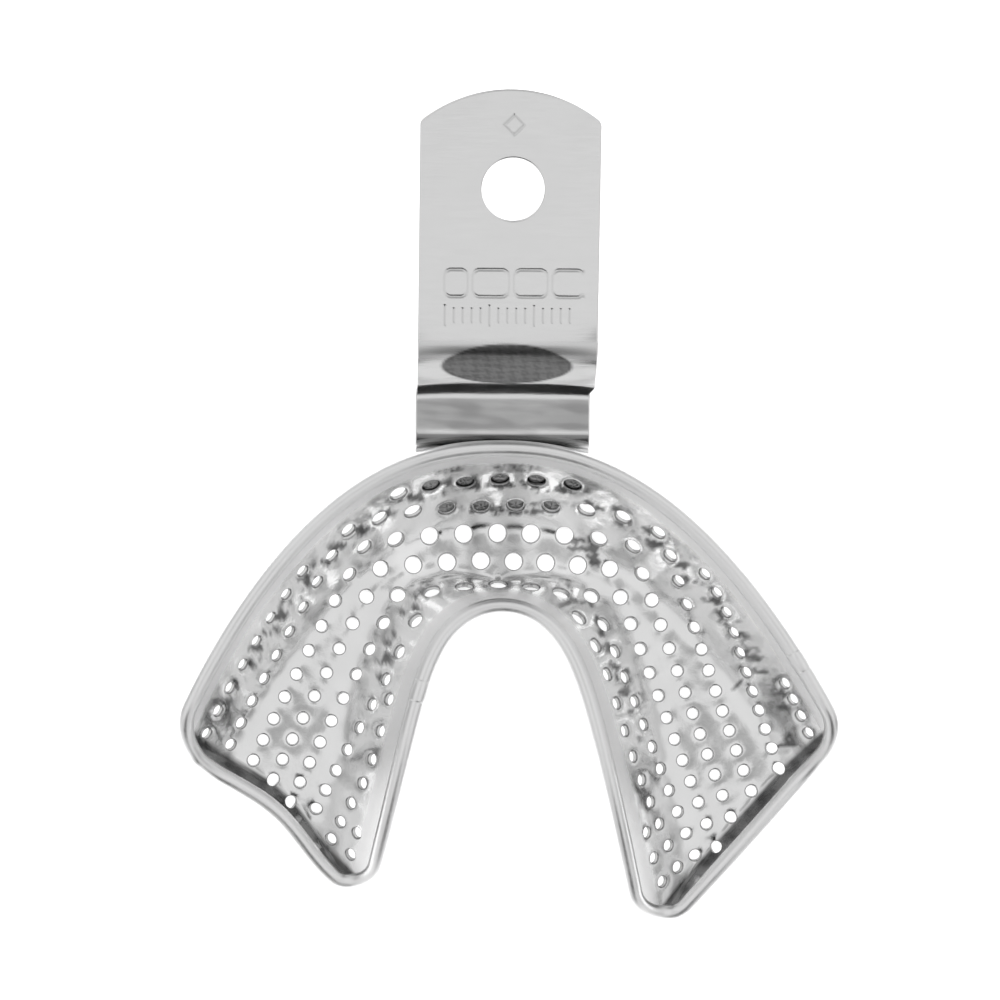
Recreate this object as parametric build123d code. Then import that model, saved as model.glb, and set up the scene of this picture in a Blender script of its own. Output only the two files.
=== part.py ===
from build123d import *
import math
import os
import numpy as np

# Lower impression tray, perforated pressed steel. Millimetres, +Z up, trough opening upwards,
# +Y towards the free end of the handle, +X to the right when looking down into the trough.

# Driving dimensions of the trough (all taken on the centre line of the rim wire)
OUTER_HALF_WIDTH = {-1: 34.55, 1: 36.35}
OUTER_DEPTH = 30.65
OUTER_FRONT_POWER = {-1: 2.3, 1: 2.2}
OUTER_SIDE_POWER = {-1: 1.07, 1: 1.0}
INNER_APEX_Y = 14.45
INNER_HALF_WIDTH = 7.5
INNER_APEX_LENGTH = 3.85
INNER_FLARE = {-1: 0.213, 1: 0.23}
TIP_Y = {-1: -18.2, 1: -23.1}
TIP_RADIUS = {-1: 2.5, 1: 3.2}
BACK_RADIUS = {-1: 4.7, 1: 4.4}
HEEL_BOW = {-1: 1.25, 1: 0.0}
HEEL_BOW_SPAN = (0.13, 0.84)
HEEL_BOW_FADE = 8
CROSS_LINE_BIAS = 1.4
BORDER_STEPS = 3001
APEX_GATHER = 2.5

# Heights above the floor, and the plan widths of the sloping walls
LABIAL_HEIGHT = 11.0
LABIAL_WIDTH = 7.2
BUCCAL_DROP = 4.4
BUCCAL_NARROWING = 1.3
LINGUAL_HEIGHT = 8.2
LINGUAL_TIP_DROP = 4.6
LINGUAL_FRONT_WIDTH = 1.9
LINGUAL_ARM_WIDTH = 6.4
LINGUAL_SPREAD = 0.3
HEEL_LIP_HEIGHT = 2.4
HEEL_LIP_WIDTH = 1.5
WALL_SOFTNESS = 0.13
CORNER_POWER = 3.0
FLOOR_SLOPE = 0.146
FLOOR_FRONT_Y = 24.0
HEEL_DROP_START_Y = 5.0
HEEL_DROP = 7.6

SHEET = 0.7
WIRE_RADIUS = 0.9

# Punched pattern: a staggered grid that the press stretches, per side (-1 left, +1 right)
HOLE_RADIUS_FRONT = 0.9
HOLE_RADIUS_ARM = 0.57
GRID_ACROSS = {-1: (4.10, -0.012, -0.19, 0.010, 0.0, 0.017),
               1: (3.86, 0.050, -0.187, 0.022, 0.010, 0.023)}
GRID_ALONG = {-1: (18.9, 3.93, -0.078, -0.057, -0.385, 0.018, 0.006),
              1: (18.8, 4.02, -0.073, -0.015, -0.337, 0.004, -0.006)}
GRID_EVEN_COLUMNS = 3.0
GRID_COLUMNS = 12
GRID_ROWS = range(-15, 5)
OUTER_START = 1.0
OUTER_MARGIN = 1.8
OUTER_CROWDING = 1.6
INNER_START = 0.4
INNER_MARGIN_FRONT = 1.75
INNER_MARGIN_ARM = 2.5
INNER_CROWDING = 0.85
HEEL_MARGIN = 1.1
HOLE_CLEARANCE = 1.95
FRONT_TO_ARM = 0.35
FRONT_HOLE_SPREAD = 0.45
PUNCH_REACH = 0.6

# Joints of the two rim wires (plan points) and the solder beads that close them
SOLDER_POINTS = {"rim_solder_left": (-8.9, 5.0), "rim_solder_right": (31.6, 8.0)}
SOLDER_RADIUS = 1.1
SOLDER_HALF_LENGTH = 0.55
SOLDER_END_GAP = 0.01

# Handle: one strip bent three times, seen from the side as a line in Y and Z
STRIP = 1.5
STRIP_LINE = [(26.7, 1.75), (30.95, 7.6), (37.4, 7.6), (41.7, 10.95), (68.9, 15.75)]
STRIP_BENDS = [5.0, 4.0, 2.2]
HANDLE_X = 0.48
HANDLE_HALF_WIDTH = 9.65
NECK_X = 0.155
NECK_HALF_WIDTH = 9.42
NECK_END_Y = 37.0
NECK_SLANT = 0.8
STRIP_CUT_Y = 20.0
STRIP_BLANK_HALF_WIDTH = 12.0
HANDLE_END_RADIUS = 15.3
HANDLE_CORNER = 0.9
HANDLE_LEAN = 0.3
HANDLE_PIVOT_Y = 34.0
HANG_HOLE_RADIUS = 3.3
HANG_HOLE_X = 0.8
HANG_HOLE_Y = 58.45

BRAZE_HALF_WIDTH = 9.9
BRAZE_DEPTH = 2.3
BRAZE_START = 0.4
BRAZE_END = 1.6

# The model is drawn about the widest point of the trough, then moved so that the origin is
# the bottom centre of the bounding box
ORIGIN = (0.9, 24.27, -0.17)


def cumulative(points):
    """Length along a line of points, up to each of them."""
    steps = np.hypot(*np.diff(points, axis=0).T)
    return np.concatenate([[0.0], np.cumsum(steps)])


def border_curves(side):
    """Dense outer and inner borders of one half, from the apex to the heel corner."""
    turn = np.linspace(0.0, math.pi / 2, BORDER_STEPS)
    x = side * OUTER_HALF_WIDTH[side] * np.sin(turn) ** (2.0 / OUTER_FRONT_POWER[side])
    y = OUTER_DEPTH * np.cos(turn) ** (2.0 / OUTER_SIDE_POWER[side])
    outer = np.stack([x, y], axis=1)
    last = 1.0 - math.exp(-(INNER_APEX_Y - TIP_Y[side]) / INNER_APEX_LENGTH)
    part = np.sqrt(last) * (1.0 - (1.0 - np.linspace(0.0, 1.0, BORDER_STEPS)) ** APEX_GATHER)
    depth = -INNER_APEX_LENGTH * np.log(1.0 - part ** 2)
    inner = np.stack([side * (INNER_HALF_WIDTH * part + INNER_FLARE[side] * depth),
                      INNER_APEX_Y - depth], axis=1)
    return outer, inner


CURVES = {side: border_curves(side) for side in (-1, 1)}


def along(curve, fraction):
    """Point and unit tangent on a dense curve at a fraction of its length, run on past its end."""
    length = cumulative(curve)
    want = fraction * length[-1]
    inside = np.clip(want, 0.0, length[-1])
    point = np.stack([np.interp(inside, length, curve[:, k]) for k in (0, 1)], axis=-1)
    slope = np.gradient(curve, length, axis=0)
    slope /= np.linalg.norm(slope, axis=1)[:, None]
    tangent = np.stack([np.interp(inside, length, slope[:, k]) for k in (0, 1)], axis=-1)
    tangent /= np.linalg.norm(tangent, axis=-1)[..., None]
    return point + (want - inside)[..., None] * tangent, tangent


def soft_ramp(value):
    """Rises like the value above nought and fades softly to nought below it."""
    return WALL_SOFTNESS * np.logaddexp(0.0, value / WALL_SOFTNESS)


def wall(distance, width, height):
    """Height of a wall at a distance from its border: full at the border, nought past its width."""
    return height * soft_ramp(1.0 - distance / width) / soft_ramp(1.0)


def heel_line(side):
    """Start, unit run and inward direction of the straight line between the ends of one heel."""
    outer, inner = CURVES[side]
    run = (inner[-1] - outer[-1]) / np.linalg.norm(inner[-1] - outer[-1])
    return outer[-1], run, -side * np.array([-run[1], run[0]])


def heel_bow(side, b):
    """How far the heel's edge bows in from its straight line."""
    first, last = HEEL_BOW_SPAN
    part = np.clip((b - first) / (last - first), 0.0, 1.0)
    return HEEL_BOW[side] * np.sin(math.pi * part) ** 2


def plan_and_distances(s, b):
    """Plan point at s (-1 left heel, 0 front, +1 right heel) and b (0 outer, 1 inner border),
    with its distances from the outer border, the inner border and the heel line."""
    s, b = np.broadcast_arrays(np.asarray(s, float), np.asarray(b, float))
    plan = np.zeros(s.shape + (2,))
    distances = np.zeros(s.shape + (3,))
    for side in (-1, 1):
        here = (s < 0) if side < 0 else (s >= 0)
        if not here.any():
            continue
        outer_curve, inner_curve = CURVES[side]
        outer, outer_run = along(outer_curve, np.abs(s[here]))
        inner, inner_run = along(inner_curve, np.abs(s[here]) ** CROSS_LINE_BIAS)
        point = outer + b[here][:, None] * (inner - outer)
        heel_start, heel_run, heel_in = heel_line(side)
        bow = heel_bow(side, b[here])
        point = point + (bow * np.abs(s[here]) ** HEEL_BOW_FADE)[:, None] * heel_in

        def offset(base, run, sign):
            gap = point - base
            return sign * (run[..., 0] * gap[..., 1] - run[..., 1] * gap[..., 0])

        plan[here] = point
        distances[here] = np.stack([offset(outer, outer_run, -side), offset(inner, inner_run, side),
                                    offset(heel_start, heel_run, -side) - bow], axis=-1)
    return plan, distances


def skin(s, b):
    """Upper (trough side) skin of the sheet."""
    s, b = np.broadcast_arrays(np.asarray(s, float), np.asarray(b, float))
    plan, distances = plan_and_distances(s, b)
    y = plan[..., 1]
    arm_length = HEEL_DROP_START_Y - np.where(s < 0, TIP_Y[-1], TIP_Y[1])
    drop = np.maximum(0.0, HEEL_DROP_START_Y - y) / arm_length
    floor = FLOOR_SLOPE * (FLOOR_FRONT_Y - y) - HEEL_DROP * drop ** 2
    arm = np.minimum(np.abs(s), 1.05)
    labial = wall(distances[..., 0], LABIAL_WIDTH - BUCCAL_NARROWING * arm ** 2,
                  LABIAL_HEIGHT - BUCCAL_DROP * arm ** 2)
    opening = 1.0 - np.exp(-(s / LINGUAL_SPREAD) ** 2)
    lingual = wall(distances[..., 1],
                   LINGUAL_FRONT_WIDTH + (LINGUAL_ARM_WIDTH - LINGUAL_FRONT_WIDTH) * opening,
                   LINGUAL_HEIGHT - LINGUAL_TIP_DROP * arm ** 3)
    heel = wall(distances[..., 2], HEEL_LIP_WIDTH, HEEL_LIP_HEIGHT)
    height = (labial ** CORNER_POWER + lingual ** CORNER_POWER + heel ** CORNER_POWER)
    return np.concatenate([plan, (floor + height ** (1.0 / CORNER_POWER))[..., None]], axis=-1)


def normal(s, b):
    """Unit normal of the upper skin, pointing up."""
    step = 1e-4
    run = skin(s + step, b) - skin(s - step, b)
    across = skin(s, b + step) - skin(s, b - step)
    vector = np.cross(across, run)
    vector /= np.linalg.norm(vector, axis=-1)[..., None]
    return vector * np.sign(vector[..., 2:3])


GRID_S, GRID_B = np.meshgrid(np.linspace(-1.0, 1.0, 121), np.linspace(0.0, 1.0, 31), indexing="ij")
GRID_PLAN = plan_and_distances(GRID_S, GRID_B)[0]


def locate(points):
    """The s and b of plan points, by Newton steps from the nearest grid point."""
    points = np.atleast_2d(points)
    gaps = ((GRID_PLAN[None] - points[:, None, None]) ** 2).sum(-1).reshape(len(points), -1)
    nearest = gaps.argmin(axis=1)
    s = GRID_S.ravel()[nearest].copy()
    b = GRID_B.ravel()[nearest].copy()
    step = 1e-5
    for _ in range(12):
        here = plan_and_distances(s, b)[0]
        by_s = (plan_and_distances(s + step, b)[0] - here) / step
        by_b = (plan_and_distances(s, b + step)[0] - here) / step
        miss = points - here
        scale = by_s[:, 0] * by_b[:, 1] - by_s[:, 1] * by_b[:, 0]
        s += np.clip((miss[:, 0] * by_b[:, 1] - miss[:, 1] * by_b[:, 0]) / scale, -0.05, 0.05)
        b += np.clip((by_s[:, 0] * miss[:, 1] - by_s[:, 1] * miss[:, 0]) / scale, -0.2, 0.2)
    return s, b


def corner_arc(side, curve, inward, radius):
    """Round the corner between a border curve and the heel line: index on the curve, arc
    centre, and the arc's two tangent points."""
    heel_start, _, heel_in = heel_line(side)
    slope = np.gradient(curve, cumulative(curve), axis=0)
    slope /= np.linalg.norm(slope, axis=1)[:, None]
    centres = curve + radius * inward * np.stack([-slope[:, 1], slope[:, 0]], axis=1)
    reach = (centres - heel_start) @ heel_in
    index = int(np.argmin(np.abs(reach - radius)))
    centre = centres[index]
    return index, centre, curve[index], centre - radius * heel_in


def heel_points(side, start, end, count):
    """Points along the bowed edge of a heel between its two corner arcs."""
    outer, inner = CURVES[side]
    _, _, heel_in = heel_line(side)
    straight = start + np.linspace(0.0, 1.0, count)[:, None] * (end - start)
    b = np.linalg.norm(straight - outer[-1], axis=1) / np.linalg.norm(inner[-1] - outer[-1])
    return straight + heel_bow(side, b)[:, None] * heel_in


def rounded_outline():
    """For each half, the outer and inner borders up to their corner arcs, and the two arcs."""
    stretches = {}
    for side in (-1, 1):
        outer, inner = CURVES[side]
        back = corner_arc(side, outer, -side, BACK_RADIUS[side])
        tip = corner_arc(side, inner, side, TIP_RADIUS[side])
        stretches[side] = {"outer": outer[:back[0] + 1], "back": back, "tip": tip,
                           "inner": inner[:tip[0] + 1]}
    return stretches


ARC_STEPS = 60
HEEL_STEPS = 80


def arc_points(centre, start, end, count):
    """Points along the shorter arc about the centre."""
    first = math.atan2(*(start - centre)[::-1])
    turn = (math.atan2(*(end - centre)[::-1]) - first + math.pi) % (2 * math.pi) - math.pi
    radius = np.linalg.norm(start - centre)
    angles = first + turn * np.linspace(0.0, 1.0, count)
    return centre + radius * np.stack([np.cos(angles), np.sin(angles)], axis=1)


def outline_points(stretches, spacing):
    """Evenly spaced plan points round the whole outline, from the front apex over the left
    side, the left heel, the inner arch, the right heel and back."""
    def half(side):
        part = stretches[side]
        return np.concatenate([part["outer"],
                               arc_points(*part["back"][1:], ARC_STEPS),
                               heel_points(side, part["back"][3], part["tip"][3], HEEL_STEPS)[1:-1],
                               arc_points(part["tip"][1], *part["tip"][:1:-1], ARC_STEPS),
                               part["inner"][::-1]])
    loop = np.concatenate([half(-1), half(1)[::-1]])
    length = cumulative(loop)
    keep = np.concatenate([[True], np.diff(length) > 1e-9])
    loop, length = loop[keep], length[keep]
    count = int(length[-1] / spacing)
    want = np.linspace(0.0, length[-1], count, endpoint=False)
    return np.stack([np.interp(want, length, loop[:, k]) for k in (0, 1)], axis=1)


TRIM_LOW = -10.0
TRIM_HEIGHT = 60.0
BORDER_PICKS = 14
HEEL_PICKS = 13
OUTLINE_STEP = 0.25
WIRE_POINT_STEP = 6
WIRE_RING_STEP = 1.0
WIRE_EVENING = 1.2
STRETCHES = rounded_outline()
OUTLINE = outline_points(STRETCHES, OUTLINE_STEP)


def surface_face(points):
    """Smooth face through a grid of points."""
    return Face.make_surface_from_array_of_points([[Vector(*p) for p in row] for row in points])


def side_samples():
    """Sample lines across the trough, closer together on the walls."""
    return np.concatenate([np.linspace(-0.03, 0.45, 17), np.linspace(0.45, 0.8, 9)[1:],
                           np.linspace(0.8, 1.04, 17)[1:]])


def border_picks(name, side):
    """A few evenly spaced points of one border, enough for a spline through them."""
    curve = STRETCHES[side][name]
    length = cumulative(curve)
    want = np.linspace(0.0, length[-1], BORDER_PICKS)
    return np.stack([np.interp(want, length, curve[:, k]) for k in (0, 1)], axis=1)


def outline_face():
    """Flat face inside the outline, below the trough."""
    wires = []
    for name in ("outer", "inner"):
        picks = np.concatenate([border_picks(name, -1)[::-1], border_picks(name, 1)[1:]])
        wires.append(Edge.make_spline([Vector(x, y, TRIM_LOW) for x, y in picks]))
    for side in (-1, 1):
        back, tip = STRETCHES[side]["back"], STRETCHES[side]["tip"]
        for corner in (back, tip):
            arc = arc_points(corner[1], corner[2], corner[3], 3)
            wires.append(Edge.make_three_point_arc(*[Vector(x, y, TRIM_LOW) for x, y in arc]))
        heel = heel_points(side, back[3], tip[3], HEEL_PICKS)
        ends = [Vector(*heel_line(side)[1], 0)] * 2
        wires.append(Edge.make_spline([Vector(x, y, TRIM_LOW) for x, y in heel], tangents=ends))
    return Face(Wire(wires))


def pressed_sheet():
    """The trough before punching: two skins closed by ruled sides, trimmed to the outline."""
    s, b = np.meshgrid(np.linspace(-1.03, 1.03, 91), side_samples(), indexing="ij")
    upper = skin(s, b)
    lower = upper - SHEET * normal(s, b)
    top, bottom = surface_face(upper), surface_face(lower)
    walls = []
    for pick in (lambda g: g[0], lambda g: g[-1], lambda g: g[:, 0], lambda g: g[:, -1]):
        middle = Vector(*pick(upper)[len(pick(upper)) // 2])
        low_middle = Vector(*pick(lower)[len(pick(lower)) // 2])
        edge = min(top.edges(), key=lambda e: e.distance_to(middle))
        low_edge = min(bottom.edges(), key=lambda e: e.distance_to(low_middle))
        walls.append(Face.make_surface_from_curves(edge, low_edge))
    block = Solid(Shell([top, bottom] + walls))
    return block & extrude(outline_face(), amount=TRIM_HEIGHT, dir=(0, 0, 1))


def rim_line():
    """Centre line of the rim wire round the whole outline, through the middle of the sheet's
    edge, with its height evened out as a stiff wire would be."""
    s, b = locate(OUTLINE)
    centre = skin(s, b) - SHEET / 2 * normal(s, b)
    reach = round(3 * WIRE_EVENING / OUTLINE_STEP)
    weights = np.exp(-0.5 * (np.arange(-reach, reach + 1) * OUTLINE_STEP / WIRE_EVENING) ** 2)
    wrapped = np.concatenate([centre[-reach:], centre, centre[:reach]])
    height = np.convolve(wrapped[:, 2], weights / weights.sum(), mode="valid")
    return np.column_stack([centre[:, :2], height])


RIM = rim_line()


def rim_stretch(first, last):
    """Spline along the rim between two places on the outline."""
    count = max(3, round((last - first) / WIRE_POINT_STEP))
    picks = np.linspace(first, last, count).round().astype(int) % len(RIM)
    return Edge.make_spline([Vector(*RIM[pick]) for pick in picks])


def tube(line, radius):
    """Round wire along the line: short ruled faces between rings square to it, and two ends."""
    rings = []
    for place in np.linspace(0.0, 1.0, round(line.length / WIRE_RING_STEP)):
        run = line % place
        station = Plane(origin=line @ place, x_dir=run.cross(Vector(0, 0, 1)), z_dir=run)
        rings.append((station * Circle(radius)).edge())
    skins = [Face.make_surface_from_curves(ring, after) for ring, after in zip(rings, rings[1:])]
    ends = [Face(Wire([ring])) for ring in (rings[0], rings[-1])]
    return Solid(Shell(skins + ends))


def solder_index(name):
    """Place on the outline that is nearest to a joint of the wires."""
    return int(np.hypot(*(OUTLINE - np.array(SOLDER_POINTS[name])).T).argmin())


def rim_parts():
    """The two lengths of rim wire and the solder beads where they meet."""
    gap = max(1, round(SOLDER_HALF_LENGTH / OUTLINE_STEP))
    left, right = solder_index("rim_solder_left"), solder_index("rim_solder_right")
    runs = {"rim_wire_rear": (left + gap, right - gap),
            "rim_wire_front": (right + gap, left + len(OUTLINE) - gap)}
    parts = {}
    for name, (first, last) in runs.items():
        parts[name] = tube(rim_stretch(first, last), WIRE_RADIUS)
    for name, index in (("rim_solder_left", left), ("rim_solder_right", right)):
        line = rim_stretch(index - gap, index + gap)
        cut = math.degrees(math.asin((line.length / 2 - SOLDER_END_GAP) / SOLDER_RADIUS))
        bead = Sphere(SOLDER_RADIUS, arc_size1=-cut, arc_size2=cut)
        parts[name] = Plane(origin=line @ 0.5, z_dir=line % 0.5) * bead
    return parts


def crowd(distance, end, span):
    """Distances below end + span are drawn together towards end, as the steep walls do in plan."""
    short = end + span - distance
    return np.where(short > 0, end + span * np.exp(-short / span), distance)


def grid_points():
    """Plan points of the punched grid after pressing, row by row on each side."""
    points = []
    for side in (-1, 1):
        for row in GRID_ROWS:
            first = 0.5 if row % 2 == 0 else (0.0 if side > 0 else 1.0)
            size = first + np.arange(GRID_COLUMNS)
            even = np.maximum(size, GRID_EVEN_COLUMNS)
            a0, a1, a2, a3, a4, a5 = GRID_ACROSS[side]
            b0, b1, b2, b3, b4, b5, b6 = GRID_ALONG[side]
            pitch = a0 + a1 * row + a2 * even + a3 * even * row + a4 * row ** 2 + a5 * even ** 2
            spacing = b1 + b3 * row + b4 * even + b5 * even ** 2 + b6 * even * row
            points += list(zip(side * size * pitch, b0 + b2 * size ** 2 + row * spacing))
    return np.array(points)


def outline_gap(points):
    """Plan distance from the rounded outline."""
    gaps = points[:, None] - OUTLINE[None]
    return np.sqrt((gaps ** 2).sum(-1)).min(axis=1)


def punched_holes():
    """Centre, direction and radius of every hole in the sheet."""
    points = grid_points()
    s, b = locate(points)
    plan, distances = plan_and_distances(s, b)
    inside = ((np.abs(plan - points).max(axis=1) < 1e-3) & (np.abs(s) < 1)
              & (distances[:, 0] > OUTER_START) & (distances[:, 1] > INNER_START)
              & (distances[:, 2] > HEEL_MARGIN))
    s, b, distances = s[inside], b[inside], distances[inside]
    arm = np.clip(np.abs(s) / FRONT_TO_ARM, 0.0, 1.0)
    inner_margin = INNER_MARGIN_FRONT + (INNER_MARGIN_ARM - INNER_MARGIN_FRONT) * arm
    b = b * crowd(distances[:, 0], OUTER_MARGIN, OUTER_CROWDING) / distances[:, 0]
    b = 1.0 - (1.0 - b) * crowd(distances[:, 1], inner_margin, INNER_CROWDING) / distances[:, 1]
    centres = skin(s, b)
    clear = outline_gap(centres[:, :2]) > HEEL_MARGIN
    kept = []
    for index in np.argsort(np.abs(b - 0.5)):
        gaps = [np.linalg.norm(centres[index] - centres[other]) for other in kept]
        if clear[index] and min(gaps, default=HOLE_CLEARANCE) >= HOLE_CLEARANCE:
            kept.append(index)
    s, b = s[kept], b[kept]
    front = np.exp(-(s / FRONT_HOLE_SPREAD) ** 4)
    radius = HOLE_RADIUS_ARM + (HOLE_RADIUS_FRONT - HOLE_RADIUS_ARM) * front
    return skin(s, b), normal(s, b), radius


def punch(sheet):
    """The sheet with its holes."""
    centres, directions, radii = punched_holes()
    tools = []
    for centre, direction, radius in zip(centres, directions, radii):
        start = Vector(*(centre - (SHEET + PUNCH_REACH) * direction))
        plane = Plane(origin=start, z_dir=Vector(*direction))
        tools.append(Solid.make_cylinder(radius, SHEET + 2 * PUNCH_REACH, plane))
    pieces = sheet.cut(*tools).solids()
    return max(pieces, key=lambda piece: piece.volume)


def strip_side(shift):
    """Side line of the bent strip, moved sideways by shift from its middle line."""
    points = [np.array(p) for p in STRIP_LINE]
    runs = [(b - a) / np.linalg.norm(b - a) for a, b in zip(points, points[1:])]
    sides = [np.array([-r[1], r[0]]) for r in runs]
    line = [points[0] + shift * sides[0]]
    radii = []
    for k, radius in enumerate(STRIP_BENDS):
        half = (sides[k] + sides[k + 1]) / (1.0 + sides[k] @ sides[k + 1])
        line.append(points[k + 1] + shift * half)
        turn = runs[k][0] * runs[k + 1][1] - runs[k][1] * runs[k + 1][0]
        radii.append(radius - shift * math.copysign(1.0, turn))
    line.append(points[-1] + shift * sides[-1])
    return line, radii


def side_profile(low, high):
    """Face in the YZ plane between two parallel side lines of the strip."""
    lines = []
    for shift in (low, high):
        points, radii = strip_side(shift)
        lines.append(FilletPolyline(*[(0, y, z) for y, z in points], radius=radii))
    ends = [Line(lines[0] @ k, lines[1] @ k) for k in (0, 1)]
    return Face(Wire([*lines[0].edges(), *lines[1].edges(), *ends[0].edges(), *ends[1].edges()]))


def handle_outline():
    """Plan shape of the handle: a slightly narrower neck and foot, and a bowed end."""
    neck, wide = NECK_HALF_WIDTH, HANDLE_HALF_WIDTH
    end = STRIP_LINE[-1][0]
    shoulder = end - HANDLE_END_RADIUS + math.sqrt(HANDLE_END_RADIUS ** 2 - wide ** 2)
    left, right = HANDLE_X - wide, HANDLE_X + wide
    neck_left, neck_right = NECK_X - neck, NECK_X + neck
    with BuildSketch() as sketch:
        with BuildLine():
            Polyline((right, shoulder), (right, NECK_END_Y + NECK_SLANT), (neck_right, NECK_END_Y),
                     (neck_right, STRIP_CUT_Y), (neck_left, STRIP_CUT_Y), (neck_left, NECK_END_Y),
                     (left, NECK_END_Y + NECK_SLANT), (left, shoulder))
            ThreePointArc((left, shoulder), (HANDLE_X, end), (right, shoulder))
        make_face()
        corners = sketch.vertices().filter_by(lambda v: abs(v.Y - shoulder) < 0.01)
        fillet(corners, HANDLE_CORNER)
    return sketch.sketch.face()


def lean(shape):
    """Turns a shape with the handle, which is brazed on slightly askew."""
    pivot = Axis((0, HANDLE_PIVOT_Y, 0), (0, 0, 1))
    return shape.rotate(pivot, -HANDLE_LEAN)


def handle():
    """The bent strip with its outline and hanging hole."""
    strip = extrude(side_profile(-STRIP / 2, STRIP / 2), amount=STRIP_BLANK_HALF_WIDTH,
                    dir=(1, 0, 0), both=True)
    cutter = Pos(0, 0, TRIM_LOW) * handle_outline()
    strip = strip & extrude(cutter, amount=TRIM_HEIGHT, dir=(0, 0, 1))
    tilt = math.atan2(STRIP_LINE[4][1] - STRIP_LINE[3][1], STRIP_LINE[4][0] - STRIP_LINE[3][0])
    height = STRIP_LINE[3][1] + (HANG_HOLE_Y - STRIP_LINE[3][0]) * math.tan(tilt)
    seat = Plane(origin=(HANG_HOLE_X, HANG_HOLE_Y, height),
                 x_dir=(1, 0, 0), z_dir=(0, -math.sin(tilt), math.cos(tilt)))
    strip = strip - seat * Cylinder(HANG_HOLE_RADIUS, 4 * STRIP)
    return lean(strip)


def foot_braze(sheet):
    """Filler between the flat foot and the curved front wall, proud of the foot at its sides."""
    low = STRIP / 2
    points = [np.array(p) for p in STRIP_LINE[:2]]
    run = (points[1] - points[0]) / np.linalg.norm(points[1] - points[0])
    side = np.array([-run[1], run[0]])
    start, end = points[0] + BRAZE_START * run, points[1] - BRAZE_END * run
    corners = [start + low * side, end + low * side,
               end + (low + BRAZE_DEPTH) * side, start + (low + BRAZE_DEPTH) * side]
    slab = extrude(Face(Wire.make_polygon([Vector(0, y, z) for y, z in corners])),
                   amount=BRAZE_HALF_WIDTH, dir=(1, 0, 0), both=True)
    pieces = (lean(slab) - sheet).solids()
    return max(pieces, key=lambda piece: piece.center().Y)


def build():
    """Every piece of the tray by name."""
    whole = pressed_sheet()
    rim = rim_parts()
    parts = {"tray_shell": punch(whole.cut(*rim.values()))}
    parts.update(rim)
    parts["handle"] = handle()
    parts["foot_braze"] = foot_braze(whole)
    return parts


if __name__ == "__main__":
    os.makedirs("parts", exist_ok=True)
    for name, shape in build().items():
        export_step(Pos(*(-Vector(*ORIGIN))) * shape, f"parts/{name}.step")
        print(name, len(shape.solids()), round(shape.volume, 2))
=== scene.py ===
import math

import bpy
import numpy as np
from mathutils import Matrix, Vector
from mathutils.geometry import delaunay_2d_cdt


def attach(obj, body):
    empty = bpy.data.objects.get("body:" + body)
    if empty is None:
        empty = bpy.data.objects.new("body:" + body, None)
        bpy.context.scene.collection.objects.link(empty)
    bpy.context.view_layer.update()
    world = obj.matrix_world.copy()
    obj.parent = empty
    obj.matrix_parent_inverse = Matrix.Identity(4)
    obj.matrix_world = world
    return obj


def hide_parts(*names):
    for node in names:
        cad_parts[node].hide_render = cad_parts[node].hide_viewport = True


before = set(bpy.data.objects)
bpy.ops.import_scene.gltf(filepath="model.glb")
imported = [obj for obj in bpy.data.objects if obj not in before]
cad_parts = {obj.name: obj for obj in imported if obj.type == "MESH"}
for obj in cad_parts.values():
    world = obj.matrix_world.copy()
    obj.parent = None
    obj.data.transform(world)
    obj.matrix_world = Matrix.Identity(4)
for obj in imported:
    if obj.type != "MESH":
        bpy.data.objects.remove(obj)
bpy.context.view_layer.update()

# Everything is drawn in millimetres about the widest point of the trough and moved by ORIGIN.
ORIGIN = np.array([0.9, 24.27, -0.17])

# Trough, on the centre line of the rim wire. Left side is -1, right side is +1.
OUTER_HALF_WIDTH = {-1: 34.55, 1: 36.35}
OUTER_DEPTH = 30.65
OUTER_FRONT_POWER = {-1: 2.3, 1: 2.2}
OUTER_SIDE_POWER = {-1: 1.07, 1: 1.0}
INNER_APEX_Y = 14.45
INNER_HALF_WIDTH = 7.5
INNER_APEX_LENGTH = 3.85
INNER_FLARE = {-1: 0.213, 1: 0.23}
TIP_Y = {-1: -18.2, 1: -23.1}
TIP_RADIUS = {-1: 2.5, 1: 3.2}
BACK_RADIUS = {-1: 4.7, 1: 4.4}
HEEL_BOW = {-1: 1.25, 1: 0.0}
HEEL_BOW_SPAN = (0.13, 0.84)
HEEL_BOW_FADE = 8
CROSS_LINE_BIAS = 1.4
BORDER_STEPS = 3001
APEX_GATHER = 2.5
ARC_STEPS = 60
HEEL_STEPS = 80
OUTLINE_STEP = 0.25

LABIAL_HEIGHT = 11.0
LABIAL_WIDTH = 7.2
BUCCAL_DROP = 4.4
BUCCAL_NARROWING = 1.3
LINGUAL_HEIGHT = 8.2
LINGUAL_TIP_DROP = 4.6
LINGUAL_FRONT_WIDTH = 1.9
LINGUAL_ARM_WIDTH = 6.4
LINGUAL_SPREAD = 0.3
HEEL_LIP_HEIGHT = 2.4
HEEL_LIP_WIDTH = 1.5
WALL_SOFTNESS = 0.13
CORNER_POWER = 3.0
FLOOR_SLOPE = 0.146
FLOOR_FRONT_Y = 24.0
HEEL_DROP_START_Y = 5.0
HEEL_DROP = 7.6
SHEET = 0.7
WIRE_RADIUS = 0.9

# Punched grid as the press has stretched it
HOLE_RADIUS_FRONT = 0.9
HOLE_RADIUS_ARM = 0.57
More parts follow.
